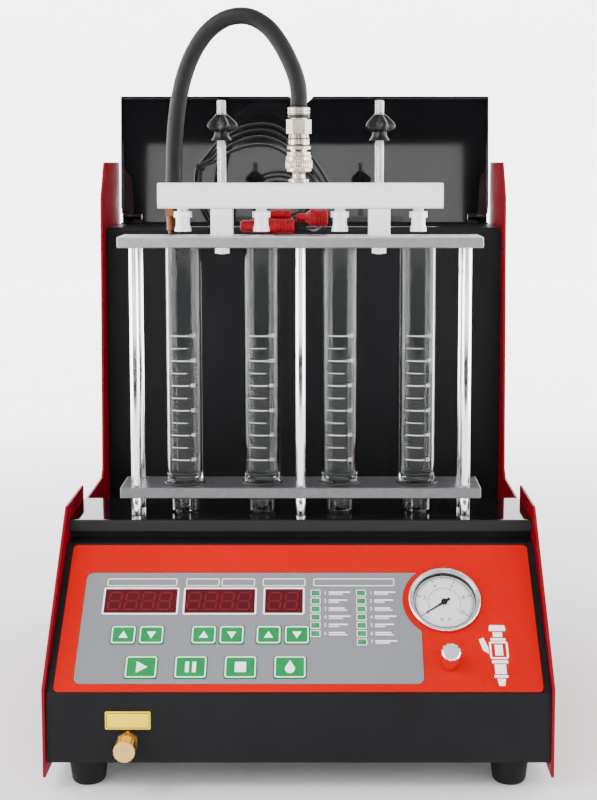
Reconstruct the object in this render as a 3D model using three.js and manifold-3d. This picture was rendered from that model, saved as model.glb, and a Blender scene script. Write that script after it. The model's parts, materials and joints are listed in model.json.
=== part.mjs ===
import * as THREE from 'three';
import { mergeVertices } from 'three/addons/utils/BufferGeometryUtils.js';
import Module from 'manifold-3d';

const wasm = await Module();
wasm.setup();

// Driving dimensions, in millimetres. X runs to the right, Y to the back from the front edge
// of the side plates, Z up from the floor.
const bodyWidth = 430;
const bodyDepth = 480;
const footHeight = 26.7;
const frontFaceHeight = 59.5;
const panelLength = 150;
const panelAngle = THREE.MathUtils.degToRad(41);
const deckHeight = 203.2;
const cabinetHeight = 460.7;
const cabinetDepth = 108;
const earRise = 70;
const rackRise = 1.8;
const tubePitch = 72.6;
const tubeCount = 4;
const tubeDiameter = 33;

// Sheet metal and clearances
const sheet = 2;
const sidePlateSheet = 2.5;
const sideClearance = 0.4;
const seat = 0.3;
const runningGap = 0.4;
const overrun = 5;
const frontInset = 3;
const bendRadius = 4;
const tightBend = 2.6;
const weldShare = 5e-5;
const hexagonSides = 6;

const halfInside = bodyWidth / 2 - sidePlateSheet - sideClearance;
const earHeight = cabinetHeight + earRise;
const rackHeight = cabinetHeight + rackRise;

// Colours of the finishes
const blackSteel = { color: 0x202022, roughness: 0.45, metalness: 0.3 };
const redSteel = { color: 0x9c1626, roughness: 0.4, metalness: 0.2 };
const redFilm = { color: 0xdc2b1d, roughness: 0.45, metalness: 0 };
const greyFilm = { color: 0x9b9b9e, roughness: 0.5, metalness: 0 };
const glossBlack = { color: 0x0a0a0c, roughness: 0.08, metalness: 0.4 };
const keyGreen = { color: 0x1f9d57, roughness: 0.5, metalness: 0 };
const displayRed = { color: 0x3a0508, roughness: 0.15, metalness: 0 };
const aluminium = { color: 0xc9cacc, roughness: 0.35, metalness: 0.9 };
const steel = { color: 0xb4b5b8, roughness: 0.25, metalness: 1 };
const chrome = { color: 0xd8d9dc, roughness: 0.12, metalness: 1 };
const brass = { color: 0xb98a3a, roughness: 0.3, metalness: 1 };
const rubber = { color: 0x121213, roughness: 0.8, metalness: 0 };
const blackPlastic = { color: 0x17171a, roughness: 0.45, metalness: 0 };
const whiteEnamel = { color: 0xe8e8e8, roughness: 0.5, metalness: 0 };
const clearGlass = { color: 0xdfe6e8, roughness: 0.05, metalness: 0 };
const yellowFilm = { color: 0xe2c24a, roughness: 0.5, metalness: 0 };
const boardGreen = { color: 0x1c5a34, roughness: 0.6, metalness: 0 };
const milkPlastic = { color: 0xd9d8d0, roughness: 0.5, metalness: 0 };

// Solids from geometry and back
function toSolid(geometry) {
  const bare = geometry.index ? geometry.toNonIndexed() : geometry.clone();
  bare.deleteAttribute('normal');
  bare.deleteAttribute('uv');
  const merged = mergeVertices(bare, sheet * weldShare);
  const mesh = new wasm.Mesh({
    numProp: 3,
    vertProperties: new Float32Array(merged.attributes.position.array),
    triVerts: new Uint32Array(merged.index.array),
  });
  return new wasm.Manifold(mesh);
}

function toGeometry(solid) {
  const mesh = solid.getMesh();
  const geometry = new THREE.BufferGeometry();
  geometry.setAttribute('position', new THREE.BufferAttribute(new Float32Array(mesh.vertProperties), 3));
  geometry.setIndex(new THREE.BufferAttribute(new Uint32Array(mesh.triVerts), 1));
  geometry.computeVertexNormals();
  return geometry;
}

function cut(base, tools) {
  let solid = toSolid(base);
  for (const tool of tools) solid = solid.subtract(toSolid(tool));
  return toGeometry(solid);
}

function join(pieces) {
  let solid = toSolid(pieces[0]);
  for (const piece of pieces.slice(1)) solid = solid.add(toSolid(piece));
  return toGeometry(solid);
}

// Basic forms: a block from its corners, a round bar along an axis, and extruded outlines
function block(x0, x1, y0, y1, z0, z1) {
  const form = new THREE.BoxGeometry(x1 - x0, y1 - y0, z1 - z0);
  return form.translate((x0 + x1) / 2, (y0 + y1) / 2, (z0 + z1) / 2);
}

function barZ(x, y, z0, z1, radius, sides) {
  const form = new THREE.CylinderGeometry(radius, radius, z1 - z0, sides);
  return form.rotateX(Math.PI / 2).translate(x, y, (z0 + z1) / 2);
}

function barY(x, z, y0, y1, radius, sides) {
  const form = new THREE.CylinderGeometry(radius, radius, y1 - y0, sides);
  return form.translate(x, (y0 + y1) / 2, z);
}

function barX(y, z, x0, x1, radius, sides) {
  const form = new THREE.CylinderGeometry(radius, radius, x1 - x0, sides);
  return form.rotateZ(Math.PI / 2).translate((x0 + x1) / 2, y, z);
}

// A turned form about the vertical axis from pairs of radius and height
function turned(profile, sides) {
  const points = profile.map(([radius, height]) => new THREE.Vector2(radius, height));
  return new THREE.LatheGeometry(points, sides).rotateX(Math.PI / 2);
}

// An outline in Y and Z, extruded along X
function extrudeAlongX(points, x0, x1) {
  const shape = new THREE.Shape(points.map(([y, z]) => new THREE.Vector2(y, z)));
  const form = new THREE.ExtrudeGeometry(shape, { depth: x1 - x0, bevelEnabled: false });
  const frame = new THREE.Matrix4().makeBasis(
    new THREE.Vector3(0, 1, 0),
    new THREE.Vector3(0, 0, 1),
    new THREE.Vector3(1, 0, 0),
  );
  return form.applyMatrix4(frame).translate(x0, 0, 0);
}

// A rounded rectangle as a shape in X and Y
function roundedRectangle(x0, x1, y0, y1, radius) {
  const shape = new THREE.Shape();
  shape.moveTo(x0 + radius, y0);
  shape.lineTo(x1 - radius, y0);
  shape.absarc(x1 - radius, y0 + radius, radius, -Math.PI / 2, 0, false);
  shape.lineTo(x1, y1 - radius);
  shape.absarc(x1 - radius, y1 - radius, radius, 0, Math.PI / 2, false);
  shape.lineTo(x0 + radius, y1);
  shape.absarc(x0 + radius, y1 - radius, radius, Math.PI / 2, Math.PI, false);
  shape.lineTo(x0, y0 + radius);
  shape.absarc(x0 + radius, y0 + radius, radius, Math.PI, Math.PI * 1.5, false);
  return shape;
}

function pad(x0, x1, y0, y1, z0, z1, radius, cornerSteps = 4) {
  const shape = roundedRectangle(x0, x1, y0, y1, radius);
  const options = { depth: z1 - z0, bevelEnabled: false, curveSegments: cornerSteps };
  return new THREE.ExtrudeGeometry(shape, options).translate(0, 0, z0);
}

// A folded sheet: a path in Y and Z with round bends, thickened to the right of its run
function bendPath(points, radius, steps) {
  const path = [points[0]];
  for (let i = 1; i < points.length - 1; i += 1) {
    const corner = new THREE.Vector2(...points[i]);
    const before = new THREE.Vector2(...points[i - 1]).sub(corner).normalize();
    const after = new THREE.Vector2(...points[i + 1]).sub(corner).normalize();
    const half = Math.acos(THREE.MathUtils.clamp(before.dot(after), -1, 1)) / 2;
    const reach = radius / Math.tan(half);
    const start = corner.clone().addScaledVector(before, reach);
    const end = corner.clone().addScaledVector(after, reach);
    for (let k = 0; k <= steps; k += 1) {
      const share = k / steps;
      const a = start.clone().lerp(corner, share);
      const b = corner.clone().lerp(end, share);
      const point = a.lerp(b, share);
      path.push([point.x, point.y]);
    }
  }
  path.push(points[points.length - 1]);
  return path;
}

function offsetPath(path, distance) {
  return path.map((point, i) => {
    const here = new THREE.Vector2(...point);
    const last = new THREE.Vector2(...path[Math.max(i - 1, 0)]);
    const next = new THREE.Vector2(...path[Math.min(i + 1, path.length - 1)]);
    const inward = i > 0 ? here.clone().sub(last).normalize() : next.clone().sub(here).normalize();
    const outward = i < path.length - 1 ? next.clone().sub(here).normalize() : inward.clone();
    const normal = new THREE.Vector2(-inward.y - outward.y, inward.x + outward.x).normalize();
    const stretch = 1 / Math.max(normal.dot(new THREE.Vector2(-inward.y, inward.x)), 0.2);
    return [here.x + normal.x * distance * stretch, here.y + normal.y * distance * stretch];
  });
}

function foldedSheet(points, thickness, x0, x1, radius = bendRadius) {
  const path = bendPath(points, radius, 3);
  const inner = offsetPath(path, -thickness).reverse();
  return extrudeAlongX([...path, ...inner], x0, x1);
}

// A tube along hand-chosen points
function tubeAlong(points, radius, sides, steps) {
  const knots = points.map((point) => new THREE.Vector3(...point));
  const curve = new THREE.CatmullRomCurve3(knots, false, 'centripetal');
  const ring = new THREE.Shape();
  for (let i = 0; i < sides; i += 1) {
    const turn = (i / sides) * Math.PI * 2;
    const x = radius * Math.cos(turn);
    const y = radius * Math.sin(turn);
    if (i === 0) ring.moveTo(x, y);
    else ring.lineTo(x, y);
  }
  ring.closePath();
  return new THREE.ExtrudeGeometry(ring, { steps, extrudePath: curve, bevelEnabled: false });
}

// The exported group, with the origin on the floor under the middle of the box
const object = new THREE.Group();

function place(group, name, geometry, finish) {
  const mesh = new THREE.Mesh(geometry, new THREE.MeshStandardMaterial(finish));
  mesh.name = name;
  group.add(mesh);
  return mesh;
}

// Side view of the housing: heights and depths that several sheets share
const baseTop = footHeight + sheet;
const frontTop = footHeight + frontFaceHeight;
const panelTopY = frontInset + panelLength * Math.cos(panelAngle);
const panelTopZ = frontTop + panelLength * Math.sin(panelAngle);
const lipSetback = 10.8;
const lipHeight = 10.5;
const lipFront = panelTopY + lipSetback;
const recessDepth = 8;
const deckDepth = 87;
const deckRear = lipFront + deckDepth;
const wellDepth = 44;
const wellFloor = deckHeight - wellDepth;
const cabinetFront = bodyDepth - cabinetDepth;
const rearInset = 1;
const rearOuter = bodyDepth - rearInset;
const rearInner = rearOuter - sheet;

// Side plates with the sloping front fin, the notch behind it and the tall rear ear
const skirtDrop = 12;
const finLead = 5.5;
const finRise = 14;
const finTopDepth = 86;
const notchDrop = 5.5;
const earStep = 8;
const earLean = 15;
const earLead = 35;
const earFront = cabinetFront - earLead;
const earChamferDepth = 24;
const earChamferDrop = 37;

function sidePlateOutline() {
  const finTop = deckHeight + finRise;
  const finTopFront = lipFront - overrun;
  const finRear = finTopFront + finTopDepth;
  const notch = deckHeight - notchDrop;
  const bottom = footHeight - skirtDrop;
  return [
    [0, bottom],
    [bodyDepth, bottom],
    [bodyDepth, earHeight],
    [earFront + earLean + earChamferDepth, earHeight],
    [earFront + earLean, earHeight - earChamferDrop],
    [earFront, notch + earStep],
    [earFront - earStep, notch],
    [finRear, notch],
    [finRear, finTop],
    [finTopFront, finTop],
    [0, frontTop + finLead],
  ];
}

function makeSidePlates(group) {
  const outline = sidePlateOutline();
  const outer = bodyWidth / 2;
  place(group, 'side_plate_left', extrudeAlongX(outline, -outer, -outer + sidePlateSheet), redSteel);
  place(group, 'side_plate_right', extrudeAlongX(outline, outer - sidePlateSheet, outer), redSteel);
}

// Panel layout, in the sloping panel's own frame: X across, Y up the slope, Z out of the panel
const filmThickness = 0.8;
const filmBottom = 1.5;
const filmTop = 147;
const filmMargin = 9;
const filmCorner = 4;
const fieldSpanShares = [-0.9223, 0.5146];
const fieldBottom = 8.8;
const fieldTop = 117.5;
const fieldCorner = 6;
const gaugeShare = 0.62;
const gaugeY = 89;
const gaugeRadius = 32;
const gaugeRingGap = 5;
const gaugeWall = 3;
const knobShare = 0.6248;
const knobY = 28.5;
const keyBack = 1.5;
const keyProud = 0.9;
const keyGuide = 0.3;
const keyCorner = 1.5;
const keyChamfer = 0.4;
const arrowKeyWidthShare = 0.1044;
const arrowKeyHeight = 17.6;
const arrowKeyY = 54.9;
const functionKeyWidthShare = 0.1335;
const functionKeyHeight = 21;
const functionKeyY = 24.1;
const arrowKeyShares = { cycle_up: -0.7374, cycle_down: -0.6199, speed_up: -0.4, speed_down: -0.283,
  time_up: -0.1282, time_down: -0.0092 };
const functionKeyShares = { start: -0.65, pause: -0.4456, stop: -0.2403, drain: -0.0359 };
const displayBottom = 75.3;
const displayTop = 102.2;
const displaySpanShares = [[-0.8398, -0.518], [-0.4966, -0.1845], [-0.1544, 0.0209]];
const lampWidth = 6.6;
const lampHeight = 4.6;
const lampPitch = 8.07;
const lampTop = 96.8;
const lampColumnShares = [0.0684, 0.2636];
const lampCounts = [6, 7];
const gaugeSides = 28;
const holeSides = 16;

// Across, the print follows the panel: places and widths are shares of half the film's width
const filmHalfWidth = bodyWidth / 2 - filmMargin;
const fieldLeft = fieldSpanShares[0] * filmHalfWidth;
const fieldRight = fieldSpanShares[1] * filmHalfWidth;
const gaugeX = gaugeShare * filmHalfWidth;
const knobX = knobShare * filmHalfWidth;
const displaySpans = displaySpanShares.map((ends) => ends.map((share) => share * filmHalfWidth));

function keyFootprints() {
  const arrow = [arrowKeyWidthShare * filmHalfWidth, arrowKeyHeight];
  const round = [functionKeyWidthShare * filmHalfWidth, functionKeyHeight];
  const keys = [];
  for (const [name, share] of Object.entries(arrowKeyShares)) {
    keys.push({ name: `key_${name}`, x: share * filmHalfWidth, y: arrowKeyY, size: arrow });
  }
  for (const [name, share] of Object.entries(functionKeyShares)) {
    keys.push({ name: `key_${name}`, x: share * filmHalfWidth, y: functionKeyY, size: round });
  }
  return keys;
}

function lampPlaces(column) {
  const x = lampColumnShares[column] * filmHalfWidth;
  return Array.from({ length: lampCounts[column] }, (_, i) => [x, lampTop - i * lampPitch]);
}

// A block about a place in the panel, with a clearance all round
function windowBlock([x, y], [width, height], bottom, top, gap = 0) {
  const w = width / 2 + gap;
  const h = height / 2 + gap;
  return block(x - w, x + w, y - h, y + h, bottom, top);
}

// Openings through the metal: keys, display windows, and one slot for each column of lamps
function metalOpenings() {
  const openings = keyFootprints().map(({ x, y, size }) => (
    windowBlock([x, y], size, -overrun, overrun, keyGuide)
  ));
  for (const [x0, x1] of displaySpans) {
    openings.push(block(x0 - keyGuide, x1 + keyGuide, displayBottom - keyGuide, displayTop + keyGuide,
      -overrun, overrun));
  }
  lampCounts.forEach((count, column) => {
    const places = lampPlaces(column);
    const middle = (places[0][1] + places[count - 1][1]) / 2;
    const height = (count - 1) * lampPitch + lampHeight;
    openings.push(windowBlock([places[0][0], middle], [lampWidth, height], -overrun, overrun, keyGuide));
  });
  return openings;
}

// Openings through the grey film, where each lamp has its own
function fieldOpenings() {
  const openings = keyFootprints().map(({ x, y, size }) => {
    const w = size[0] / 2 + keyGuide;
    const h = size[1] / 2 + keyGuide;
    return pad(x - w, x + w, y - h, y + h, -overrun, overrun, keyCorner + keyGuide, 1);
  });
  for (const [x0, x1] of displaySpans) {
    openings.push(block(x0 - keyGuide, x1 + keyGuide, displayBottom - keyGuide, displayTop + keyGuide,
      -overrun, overrun));
  }
  for (const place of [...lampPlaces(0), ...lampPlaces(1)]) {
    openings.push(windowBlock(place, [lampWidth, lampHeight], -overrun, overrun, keyGuide));
  }
  return openings;
}

const gaugeBodyRadius = gaugeRadius - gaugeWall;
const regulatorStemRadius = 4;

function roundPanelHoles() {
  return [
    barZ(gaugeX, gaugeY, -overrun, overrun, gaugeBodyRadius + keyGuide, gaugeSides),
    barZ(knobX, knobY, -overrun, overrun, regulatorStemRadius + keyGuide, holeSides),
  ];
}

// Front cover: front wall, sloping panel, and the fold under the deck lip
const drainInset = 71.8;
const drainRise = 19.8;
const drainX = drainInset - bodyWidth / 2;
const drainZ = footHeight + drainRise;
const drainNeckRadius = 5.5;

function makeFrontCover(group) {
  const path = [
    [frontInset, footHeight],
    [frontInset, frontTop],
    [panelTopY, panelTopZ],
    [lipFront + recessDepth, panelTopZ],
    [lipFront + recessDepth, deckHeight - sheet - seat],
  ];
  const cover = foldedSheet(path, sheet, -halfInside, halfInside, tightBend);
  const toPanel = new THREE.Matrix4().makeRotationX(panelAngle).setPosition(0, frontInset, frontTop);
  const tools = [...metalOpenings(), ...roundPanelHoles()];
  for (const tool of tools) tool.applyMatrix4(toPanel);
  const drainHole = drainNeckRadius + keyGuide;
  tools.push(barY(drainX, drainZ, frontInset - overrun, frontInset + overrun, drainHole, holeSides));
  place(group, 'front_cover', cut(cover, tools), blackSteel);
}

// Red film, and the grey keypad field with the hollow round the gauge
const fieldCurveSteps = 8;

function fieldShape(grow) {
  const shape = new THREE.Shape();
  const left = fieldLeft - grow;
  const right = fieldRight + grow;
  const bottom = fieldBottom - grow;
  const top = fieldTop + grow;
  const round = fieldCorner + grow;
  const ring = gaugeRadius + gaugeRingGap - grow;
  const lowAngle = Math.PI + Math.acos((gaugeX - right) / ring);
  const highAngle = Math.PI - Math.asin(Math.min((top - gaugeY) / ring, 1));
  shape.moveTo(left + round, bottom);
  shape.lineTo(right - round, bottom);
  shape.absarc(right - round, bottom + round, round, -Math.PI / 2, 0, false);
  shape.lineTo(right, gaugeY + ring * Math.sin(lowAngle));
  shape.absarc(gaugeX, gaugeY, ring, lowAngle, highAngle, true);
  shape.lineTo(left + round, top);
  shape.absarc(left + round, top - round, round, Math.PI / 2, Math.PI, false);
  shape.lineTo(left, bottom + round);
  shape.absarc(left + round, bottom + round, round, Math.PI, Math.PI * 1.5, false);
  return shape;
}

function fieldPad(bottom, top, grow) {
  const options = { depth: top - bottom, bevelEnabled: false, curveSegments: fieldCurveSteps };
  return new THREE.ExtrudeGeometry(fieldShape(grow), options).translate(0, 0, bottom);
}

function makeFilms(panel) {
  const low = seat;
  const high = seat + filmThickness;
  const red = pad(-filmHalfWidth, filmHalfWidth, filmBottom, filmTop, low, high, filmCorner);
  const redTools = [fieldPad(-overrun, overrun, keyGuide), ...roundPanelHoles()];
  place(panel, 'control_overlay', cut(red, redTools), redFilm);
  const grey = cut(fieldPad(low, high, 0), fieldOpenings());
  place(panel, 'keypad_field', grey, greyFilm);
}

// Display board behind the panel, with three windows that stand in its openings
const boardMargin = 3;
const boardThickness = 1.6;
const guideMargin = 1;

function makeDisplays(panel) {
  const face = seat + filmThickness;
  const back = -sheet - seat;
  const left = displaySpans[0][0] - boardMargin;
  const right = displaySpans[displaySpans.length - 1][1] + boardMargin;
  const low = displayBottom - boardMargin;
  const high = displayTop + boardMargin;
  const board = block(left, right, low, high, back - boardThickness, back);
  const windows = displaySpans.map(([x0, x1]) => (
    block(x0, x1, displayBottom, displayTop, back - boardThickness / 2, face)
  ));
  place(panel, 'display_board', join([board, ...windows]), displayRed);
}

// Light guide behind the panel, with a small lens for each lamp
function makeLamps(panel) {
  const back = -sheet - seat;
  const top = seat + filmThickness + seat;
  const places = [...lampPlaces(0), ...lampPlaces(1)];
  const lenses = places.map((at) => (
    windowBlock(at, [lampWidth, lampHeight], back - boardThickness / 2, top)
  ));
  const [leftX, rightX] = lampColumnShares.map((share) => share * filmHalfWidth);
  const left = leftX - lampWidth / 2 - guideMargin;
  const right = rightX + lampWidth / 2 + guideMargin;
  const low = places[places.length - 1][1] - lampHeight;
  const guide = block(left, right, low, lampTop + lampHeight, back - boardThickness, back);
  place(panel, 'lamp_strip', join([guide, ...lenses]), keyGreen);
}

// Ten keys, each a cap with a chamfered crown on a guide that passes the panel
function makeKeys(panel) {
  const face = seat + filmThickness;
  for (const { name, x, y, size } of keyFootprints()) {
    const w = size[0] / 2;
    const h = size[1] / 2;
    const [right, top] = [w - keyChamfer, h - keyChamfer];
    const shape = roundedRectangle(-right, right, -top, top, keyCorner);
    const options = {
      depth: keyProud + face + sheet + keyBack - keyChamfer * 2,
      bevelEnabled: true,
      bevelThickness: keyChamfer,
      bevelSize: keyChamfer,
      bevelSegments: 1,
      curveSegments: 1,
    };
    const cap = new THREE.ExtrudeGeometry(shape, options);
    cap.translate(0, 0, keyChamfer - sheet - keyBack);
    place(panel, name, cap, keyGreen).position.set(x, y, 0);
  }
}

// Pressure gauge: cup behind the panel, bezel, dial, pointer on its spindle, and lens
const bezelProud = 4;
const bezelWall = 2.6;
const bezelLip = 1.2;
const gaugeCupDepth = 24;
const gaugeCupWall = 1.6;
const dialThickness = 0.8;
const dialDrop = 4.5;
const lensThickness = 1.4;
const pointerThickness = 0.6;
const spindleRadius = 1.2;
const pointerReach = 21;
const pointerTail = 6;
const pointerAngle = THREE.MathUtils.degToRad(214);
const spindleSides = 12;
const pointerHubRadius = 2.9;

function makeGauge(panel) {
  const face = seat + filmThickness + seat;
  const inner = gaugeRadius - bezelWall;
  const cupInner = gaugeBodyRadius - gaugeCupWall;
  const lensTop = face + bezelProud - bezelLip;
  const lensBottom = lensTop - lensThickness;
  const dialTop = lensBottom - dialDrop;
  const ledge = dialTop - dialThickness - seat;
  const cup = turned([
    [0, -gaugeCupDepth],
    [gaugeBodyRadius, -gaugeCupDepth],
    [gaugeBodyRadius, face],
    [gaugeRadius, face],
    [gaugeRadius, lensTop],
    [gaugeRadius - bezelLip, face + bezelProud],
    [inner, face + bezelProud],
    [inner, lensTop + seat],
    [inner, lensBottom],
    [cupInner, lensBottom - seat],
    [cupInner, ledge],
    [0, ledge],
  ], gaugeSides);
  const hollow = barZ(0, 0, 2 * ledge - dialTop, ledge + overrun, spindleRadius + runningGap, spindleSides);
  place(panel, 'gauge_case', cut(cup, [hollow]), chrome).position.set(gaugeX, gaugeY, 0);
  const dial = barZ(0, 0, ledge + seat, dialTop, cupInner - seat, gaugeSides);
  const dialHole = barZ(0, 0, ledge - overrun, dialTop + overrun, spindleRadius + runningGap, spindleSides);
  place(panel, 'gauge_dial', cut(dial, [dialHole]), whiteEnamel).position.set(gaugeX, gaugeY, 0);
  const lens = barZ(0, 0, lensBottom, lensTop, inner - seat, gaugeSides);
  place(panel, 'gauge_lens', lens, clearGlass).position.set(gaugeX, gaugeY, 0);
  makePointer(panel, dialTop, ledge);
}

function makePointer(panel, dialTop, ledge) {
  const low = dialTop + runningGap * 2;
  const high = low + pointerThickness;
  const shape = new THREE.Shape();
  shape.moveTo(-pointerTail, -spindleRadius);
  shape.lineTo(pointerReach, -spindleRadius / 4);
  shape.lineTo(pointerReach, spindleRadius / 4);
  shape.lineTo(-pointerTail, spindleRadius);
  const blade = new THREE.ExtrudeGeometry(shape, { depth: pointerThickness, bevelEnabled: false });
  blade.translate(0, 0, low);
  const hub = barZ(0, 0, low, high + pointerThickness, pointerHubRadius, spindleSides);
  const spindle = barZ(0, 0, 2 * ledge - dialTop + runningGap, high, spindleRadius, spindleSides);
  const pointer = place(panel, 'gauge_pointer', join([blade, hub, spindle]), blackPlastic);
  pointer.position.set(gaugeX, gaugeY, 0);
  pointer.rotation.z = pointerAngle;
}

// Pressure regulator: knurled knob on the stem of a valve behind the panel
const knobRadius = 8.4;
const knobHeight = 17;
const knobFluteCount = 12;
const knobFluteDepth = 0.7;
const knobStandOff = 1.5;
const stemProud = 12;
const valveRadius = 11;
const valveLength = 26;
const knobSides = 20;
const boreSides = 12;
const fluteShares = [1, 1, 0, 0];

function flutedOutline(radius, depth, flutes) {
  const shape = new THREE.Shape();
  const count = flutes * fluteShares.length;
  for (let i = 0; i < count; i += 1) {
    const turn = (i / count) * Math.PI * 2;
    const r = radius - depth * fluteShares[i % fluteShares.length];
    const x = r * Math.cos(turn);
    const y = r * Math.sin(turn);
    if (i === 0) shape.moveTo(x, y);
    else shape.lineTo(x, y);
  }
  shape.closePath();
  return shape;
}

function makeRegulator(panel) {
  const face = seat + filmThickness;
  const bottom = face + knobStandOff;
  const skirt = knobHeight / 3;
  const fluted = new THREE.ExtrudeGeometry(flutedOutline(knobRadius, knobFluteDepth, knobFluteCount), {
    depth: knobHeight - skirt - knobFluteDepth, bevelEnabled: false,
  });
  fluted.translate(0, 0, bottom + skirt);
  const base = turned([
    [0, 0],
    [knobRadius - knobFluteDepth, 0],
    [knobRadius - knobFluteDepth, skirt],
    [0, skirt],
  ], knobSides).translate(0, 0, bottom);
  const crown = turned([
    [0, 0],
    [knobRadius - knobFluteDepth, 0],
    [knobRadius - knobFluteDepth * 2, knobFluteDepth],
    [0, knobFluteDepth],
  ], knobSides).translate(0, 0, bottom + knobHeight - knobFluteDepth);
  const boreRadius = regulatorStemRadius + runningGap / 2;
  const bore = barZ(0, 0, bottom - overrun, stemProud + runningGap, boreRadius, boreSides);
  const knob = cut(join([base, fluted, crown]), [bore]);
  place(panel, 'regulator_knob', knob, chrome).position.set(knobX, knobY, 0);
  const stem = barZ(0, 0, -sheet - seat - valveLength / 2, stemProud, regulatorStemRadius, boreSides);
  const valve = barZ(0, 0, -sheet - seat - valveLength, -sheet - seat, valveRadius, knobSides);
  place(panel, 'regulator_valve', join([stem, valve]), brass).position.set(knobX, knobY, 0);
}

// Deck: glossy shelf with a front lip, a rear wall and the floor of the well behind it
const stemHoleRadius = 7;
const bushRim = 2;
const rackDepth = 50;
const rackSetback = 11;
const rackFront = lipFront + rackSetback;
const rackMiddle = rackFront + rackDepth / 2;
const bushSides = 16;
const stemRadius = 4.5;

function tubeCentres() {
  const first = -tubePitch * (tubeCount - 1) / 2;
  return Array.from({ length: tubeCount }, (_, i) => first + i * tubePitch);
}

function makeDeck(group) {
  const path = [
    [lipFront, deckHeight - lipHeight],
    [lipFront, deckHeight],
    [deckRear, deckHeight],
    [deckRear, wellFloor],
    [cabinetFront + bendRadius, wellFloor],
  ];
  const deck = foldedSheet(path, sheet, -halfInside, halfInside, tightBend);
  const bushes = tubeCentres().map((x) => (
    barZ(x, rackMiddle, deckHeight - sheet / 2, deckHeight + bushRim, stemHoleRadius + bushRim, bushSides)
  ));
  const holes = tubeCentres().map((x) => (
    barZ(x, rackMiddle, deckHeight - overrun, deckHeight + overrun, stemRadius + seat, boreSides)
  ));
  place(group, 'deck_plate', cut(join([deck, ...bushes]), holes), glossBlack);
}

// Rear cabinet: front wall and top in one folded sheet, with the mouth of the bath
const bathInset = 65;
const bathSetback = 14;
const bathWidth = 70;
const bathDepth = 92;
const bathSheet = 1.2;
const bathRim = 8;
const bathCorner = 10;
const glandX = -60;
const glandDrop = 17;
const glandRadius = 7;
const transducerNeck = 14;
const transducerHeight = 40;
const transducerRadius = 22;

const bathHalfLength = bodyWidth / 2 - bathInset;
const bathFront = cabinetFront + bathSetback;
const glandZ = cabinetHeight - glandDrop;

function makeCabinet(group) {
  const path = [
    [cabinetFront, wellFloor + seat],
    [cabinetFront, cabinetHeight],
    [rearInner - seat, cabinetHeight],
  ];
  const shell = foldedSheet(path, sheet, -halfInside, halfInside, bendRadius);
  const mouth = pad(-bathHalfLength, bathHalfLength, bathFront, bathFront + bathWidth,
    cabinetHeight - overrun, cabinetHeight + overrun, bathCorner);
  const [front, rear] = [cabinetFront - overrun, cabinetFront + overrun];
  const gland = barY(glandX, glandZ, front, rear, glandRadius, boreSides);
  place(group, 'cabinet_shell', cut(shell, [mouth, gland]), blackSteel);
}

// Ultrasonic bath: a deep tray that hangs by its rim under the mouth, on a transducer
function makeBath(group) {
  const top = cabinetHeight - sheet - seat;
  const x = bathHalfLength;
  const y0 = bathFront;
  const y1 = bathFront + bathWidth;
  const rim = pad(-x - bathRim, x + bathRim, y0 - bathRim, y1 + bathRim, top - bathSheet, top, bathCorner);
  const body = pad(-x - bathSheet, x + bathSheet, y0 - bathSheet, y1 + bathSheet,
    top - bathDepth, top, bathCorner + bathSheet);
  const inside = pad(-x, x, y0, y1, top - bathDepth + bathSheet, top + overrun, bathCorner);
  place(group, 'ultrasonic_bath', cut(join([rim, body]), [inside]), steel);
  const floorZ = top - bathDepth - seat;
  const horn = turned([
    [0, -transducerHeight],
    [transducerNeck, -transducerHeight],
    [transducerNeck, -transducerHeight / 2],
    [transducerRadius, 0],
    [0, 0],
  ], knobSides).translate(0, (y0 + y1) / 2, floorZ);
  place(group, 'bath_transducer', horn, aluminium);
}

// Bottom plate, rear cover with vents, inlet and rocker switch
const ventCount = 9;
const ventLength = 90;
const ventWidth = 4;
const ventPitch = 12;
const ventZ = (footHeight + cabinetHeight) / 2;
const inletX = 120;
const inletWidth = 30;
const inletHeight = 24;
const inletDepth = 24;
const inletFlange = 5;
const switchX = 60;
const rockerWidth = 14;
const rockerHeight = 22;
const rockerTilt = THREE.MathUtils.degToRad(10);
const rockerDepth = 7;
const rockerSink = 2.4;
const pinHalf = 1;
const inletLift = 56;
const inletZ = baseTop + inletLift;

function makeBase(group) {
  const front = frontInset + sheet + seat;
  const base = block(-halfInside, halfInside, front, rearInner - seat, footHeight, baseTop);
  place(group, 'base_plate', base, blackSteel);
}

function makeRearCover(group) {
  const cover = block(-halfInside, halfInside, rearInner, rearOuter, footHeight, cabinetHeight);
  const tools = [];
  for (let i = 0; i < ventCount; i += 1) {
    const x = (i - (ventCount - 1) / 2) * ventPitch;
    const [left, right] = [x - ventWidth / 2, x + ventWidth / 2];
    const [low, high] = [ventZ - ventLength / 2, ventZ + ventLength / 2];
    tools.push(block(left, right, rearInner - overrun, rearOuter + overrun, low, high));
  }
  const [x0, x1, z0, z1] = inletHousing();
  tools.push(block(x0 - seat, x1 + seat, rearInner - overrun, rearOuter + overrun, z0 - seat, z1 + seat));
  place(group, 'rear_cover', cut(cover, tools), blackSteel);
}

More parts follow.
